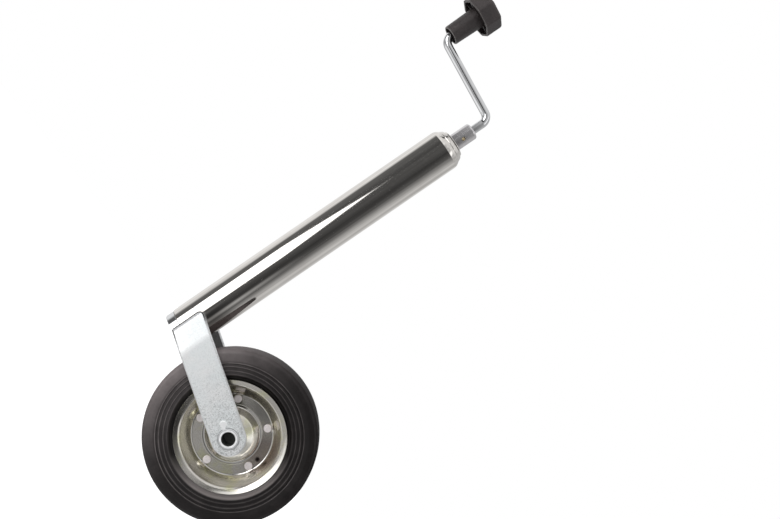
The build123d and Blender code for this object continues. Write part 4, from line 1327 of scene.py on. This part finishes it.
def build_lamps(power):
    """One large soft lamp towards the crank side and a weaker one over the top."""
    target = Vector((0.05, 0, 0.1))
    for name, place, size, share in (
        ("lamp_key", (-1.1, -1.2, 0.1), 1.2, 1.0),
        ("lamp_top", (-0.3, -0.2, 1.6), 1.0, 0.6),
    ):
        lamp = bpy.data.lights.new(name, "AREA")
        lamp.size = size
        lamp.energy = power * share
        holder = bpy.data.objects.new(name, lamp)
        bpy.context.scene.collection.objects.link(holder)
        holder.location = place
        holder.rotation_euler = (target - Vector(place)).to_track_quat("-Z", "Y").to_euler()
        holder.visible_glossy = False


def build_camera(lens):
    """The camera looks square at the fork's side, rolled so that the stem leans as in the photograph."""
    camera = bpy.data.cameras.new("camera")
    camera.lens = lens
    camera.sensor_width = 36
    camera.shift_x = 0.0442
    camera.shift_y = 0.0306
    camera.clip_start = 0.01
    holder = bpy.data.objects.new("camera", camera)
    bpy.context.scene.collection.objects.link(holder)
    place = (0.0626, -0.9429, 0.1826)
    across = Vector((0.5664, -0.0089, 0.8241)).normalized()
    ahead = Vector((0.0065, 0.99996, 0.0063))
    ahead = (ahead - across * ahead.dot(across)).normalized()
    turn = Matrix((across, across.cross(ahead), -ahead)).transposed().to_4x4()
    holder.matrix_world = Matrix.Translation(place) @ turn
    bpy.context.scene.camera = holder


PANEL_ROWS = [
    ("Stem", "jockey_stem", StemSizes, [BuildStem, FinishInside]),
    ("Crank", "jockey_crank", CrankSizes, [BuildCrank]),
    ("Knob", "jockey_knob", KnobSizes, [BuildKnob]),
    ("Fork", "jockey_fork", ForkSizes, [BuildFork]),
    ("Wheel", "jockey_wheel_sizes", WheelSizes, [BuildWheel]),
    ("Studio", "jockey_studio", Studio, [BuildStudio]),
]


class JockeyWheelPanel(bpy.types.Panel):
    """Sizes and colours of the jockey wheel, and the buttons that build it"""
    bl_idname = "VIEW3D_PT_jockey_wheel"
    bl_label = "Jockey wheel"
    bl_space_type = "VIEW_3D"
    bl_region_type = "UI"
    bl_category = "Jockey Wheel"

    def draw(self, context):
        for title, holder, group, operators in PANEL_ROWS:
            box = self.layout.box()
            box.label(text=title)
            for name in group.__annotations__:
                box.prop(getattr(context.scene, holder), name)
            for operator in operators:
                box.operator(operator.bl_idname, text=operator.bl_label)


CLASSES = [group for _, _, group, _ in PANEL_ROWS] + [
    BuildStem, BuildCrank, BuildKnob, BuildFork, BuildWheel, FinishInside, BuildStudio, JockeyWheelPanel]


def register():
    for item in CLASSES:
        bpy.utils.register_class(item)
    for _, holder, group, _ in PANEL_ROWS:
        setattr(bpy.types.Scene, holder, PointerProperty(type=group))


def unregister():
    for _, holder, _, _ in PANEL_ROWS:
        delattr(bpy.types.Scene, holder)
    for item in reversed(CLASSES):
        bpy.utils.unregister_class(item)


def main():
    register()
    bpy.ops.jockey_wheel.build_stem()
    bpy.ops.jockey_wheel.build_crank()
    bpy.ops.jockey_wheel.build_knob()
    bpy.ops.jockey_wheel.build_fork()
    bpy.ops.jockey_wheel.build_wheel()
    bpy.ops.jockey_wheel.finish_inside()
    bpy.ops.jockey_wheel.build_studio()


if __name__ == "__main__":
    main()
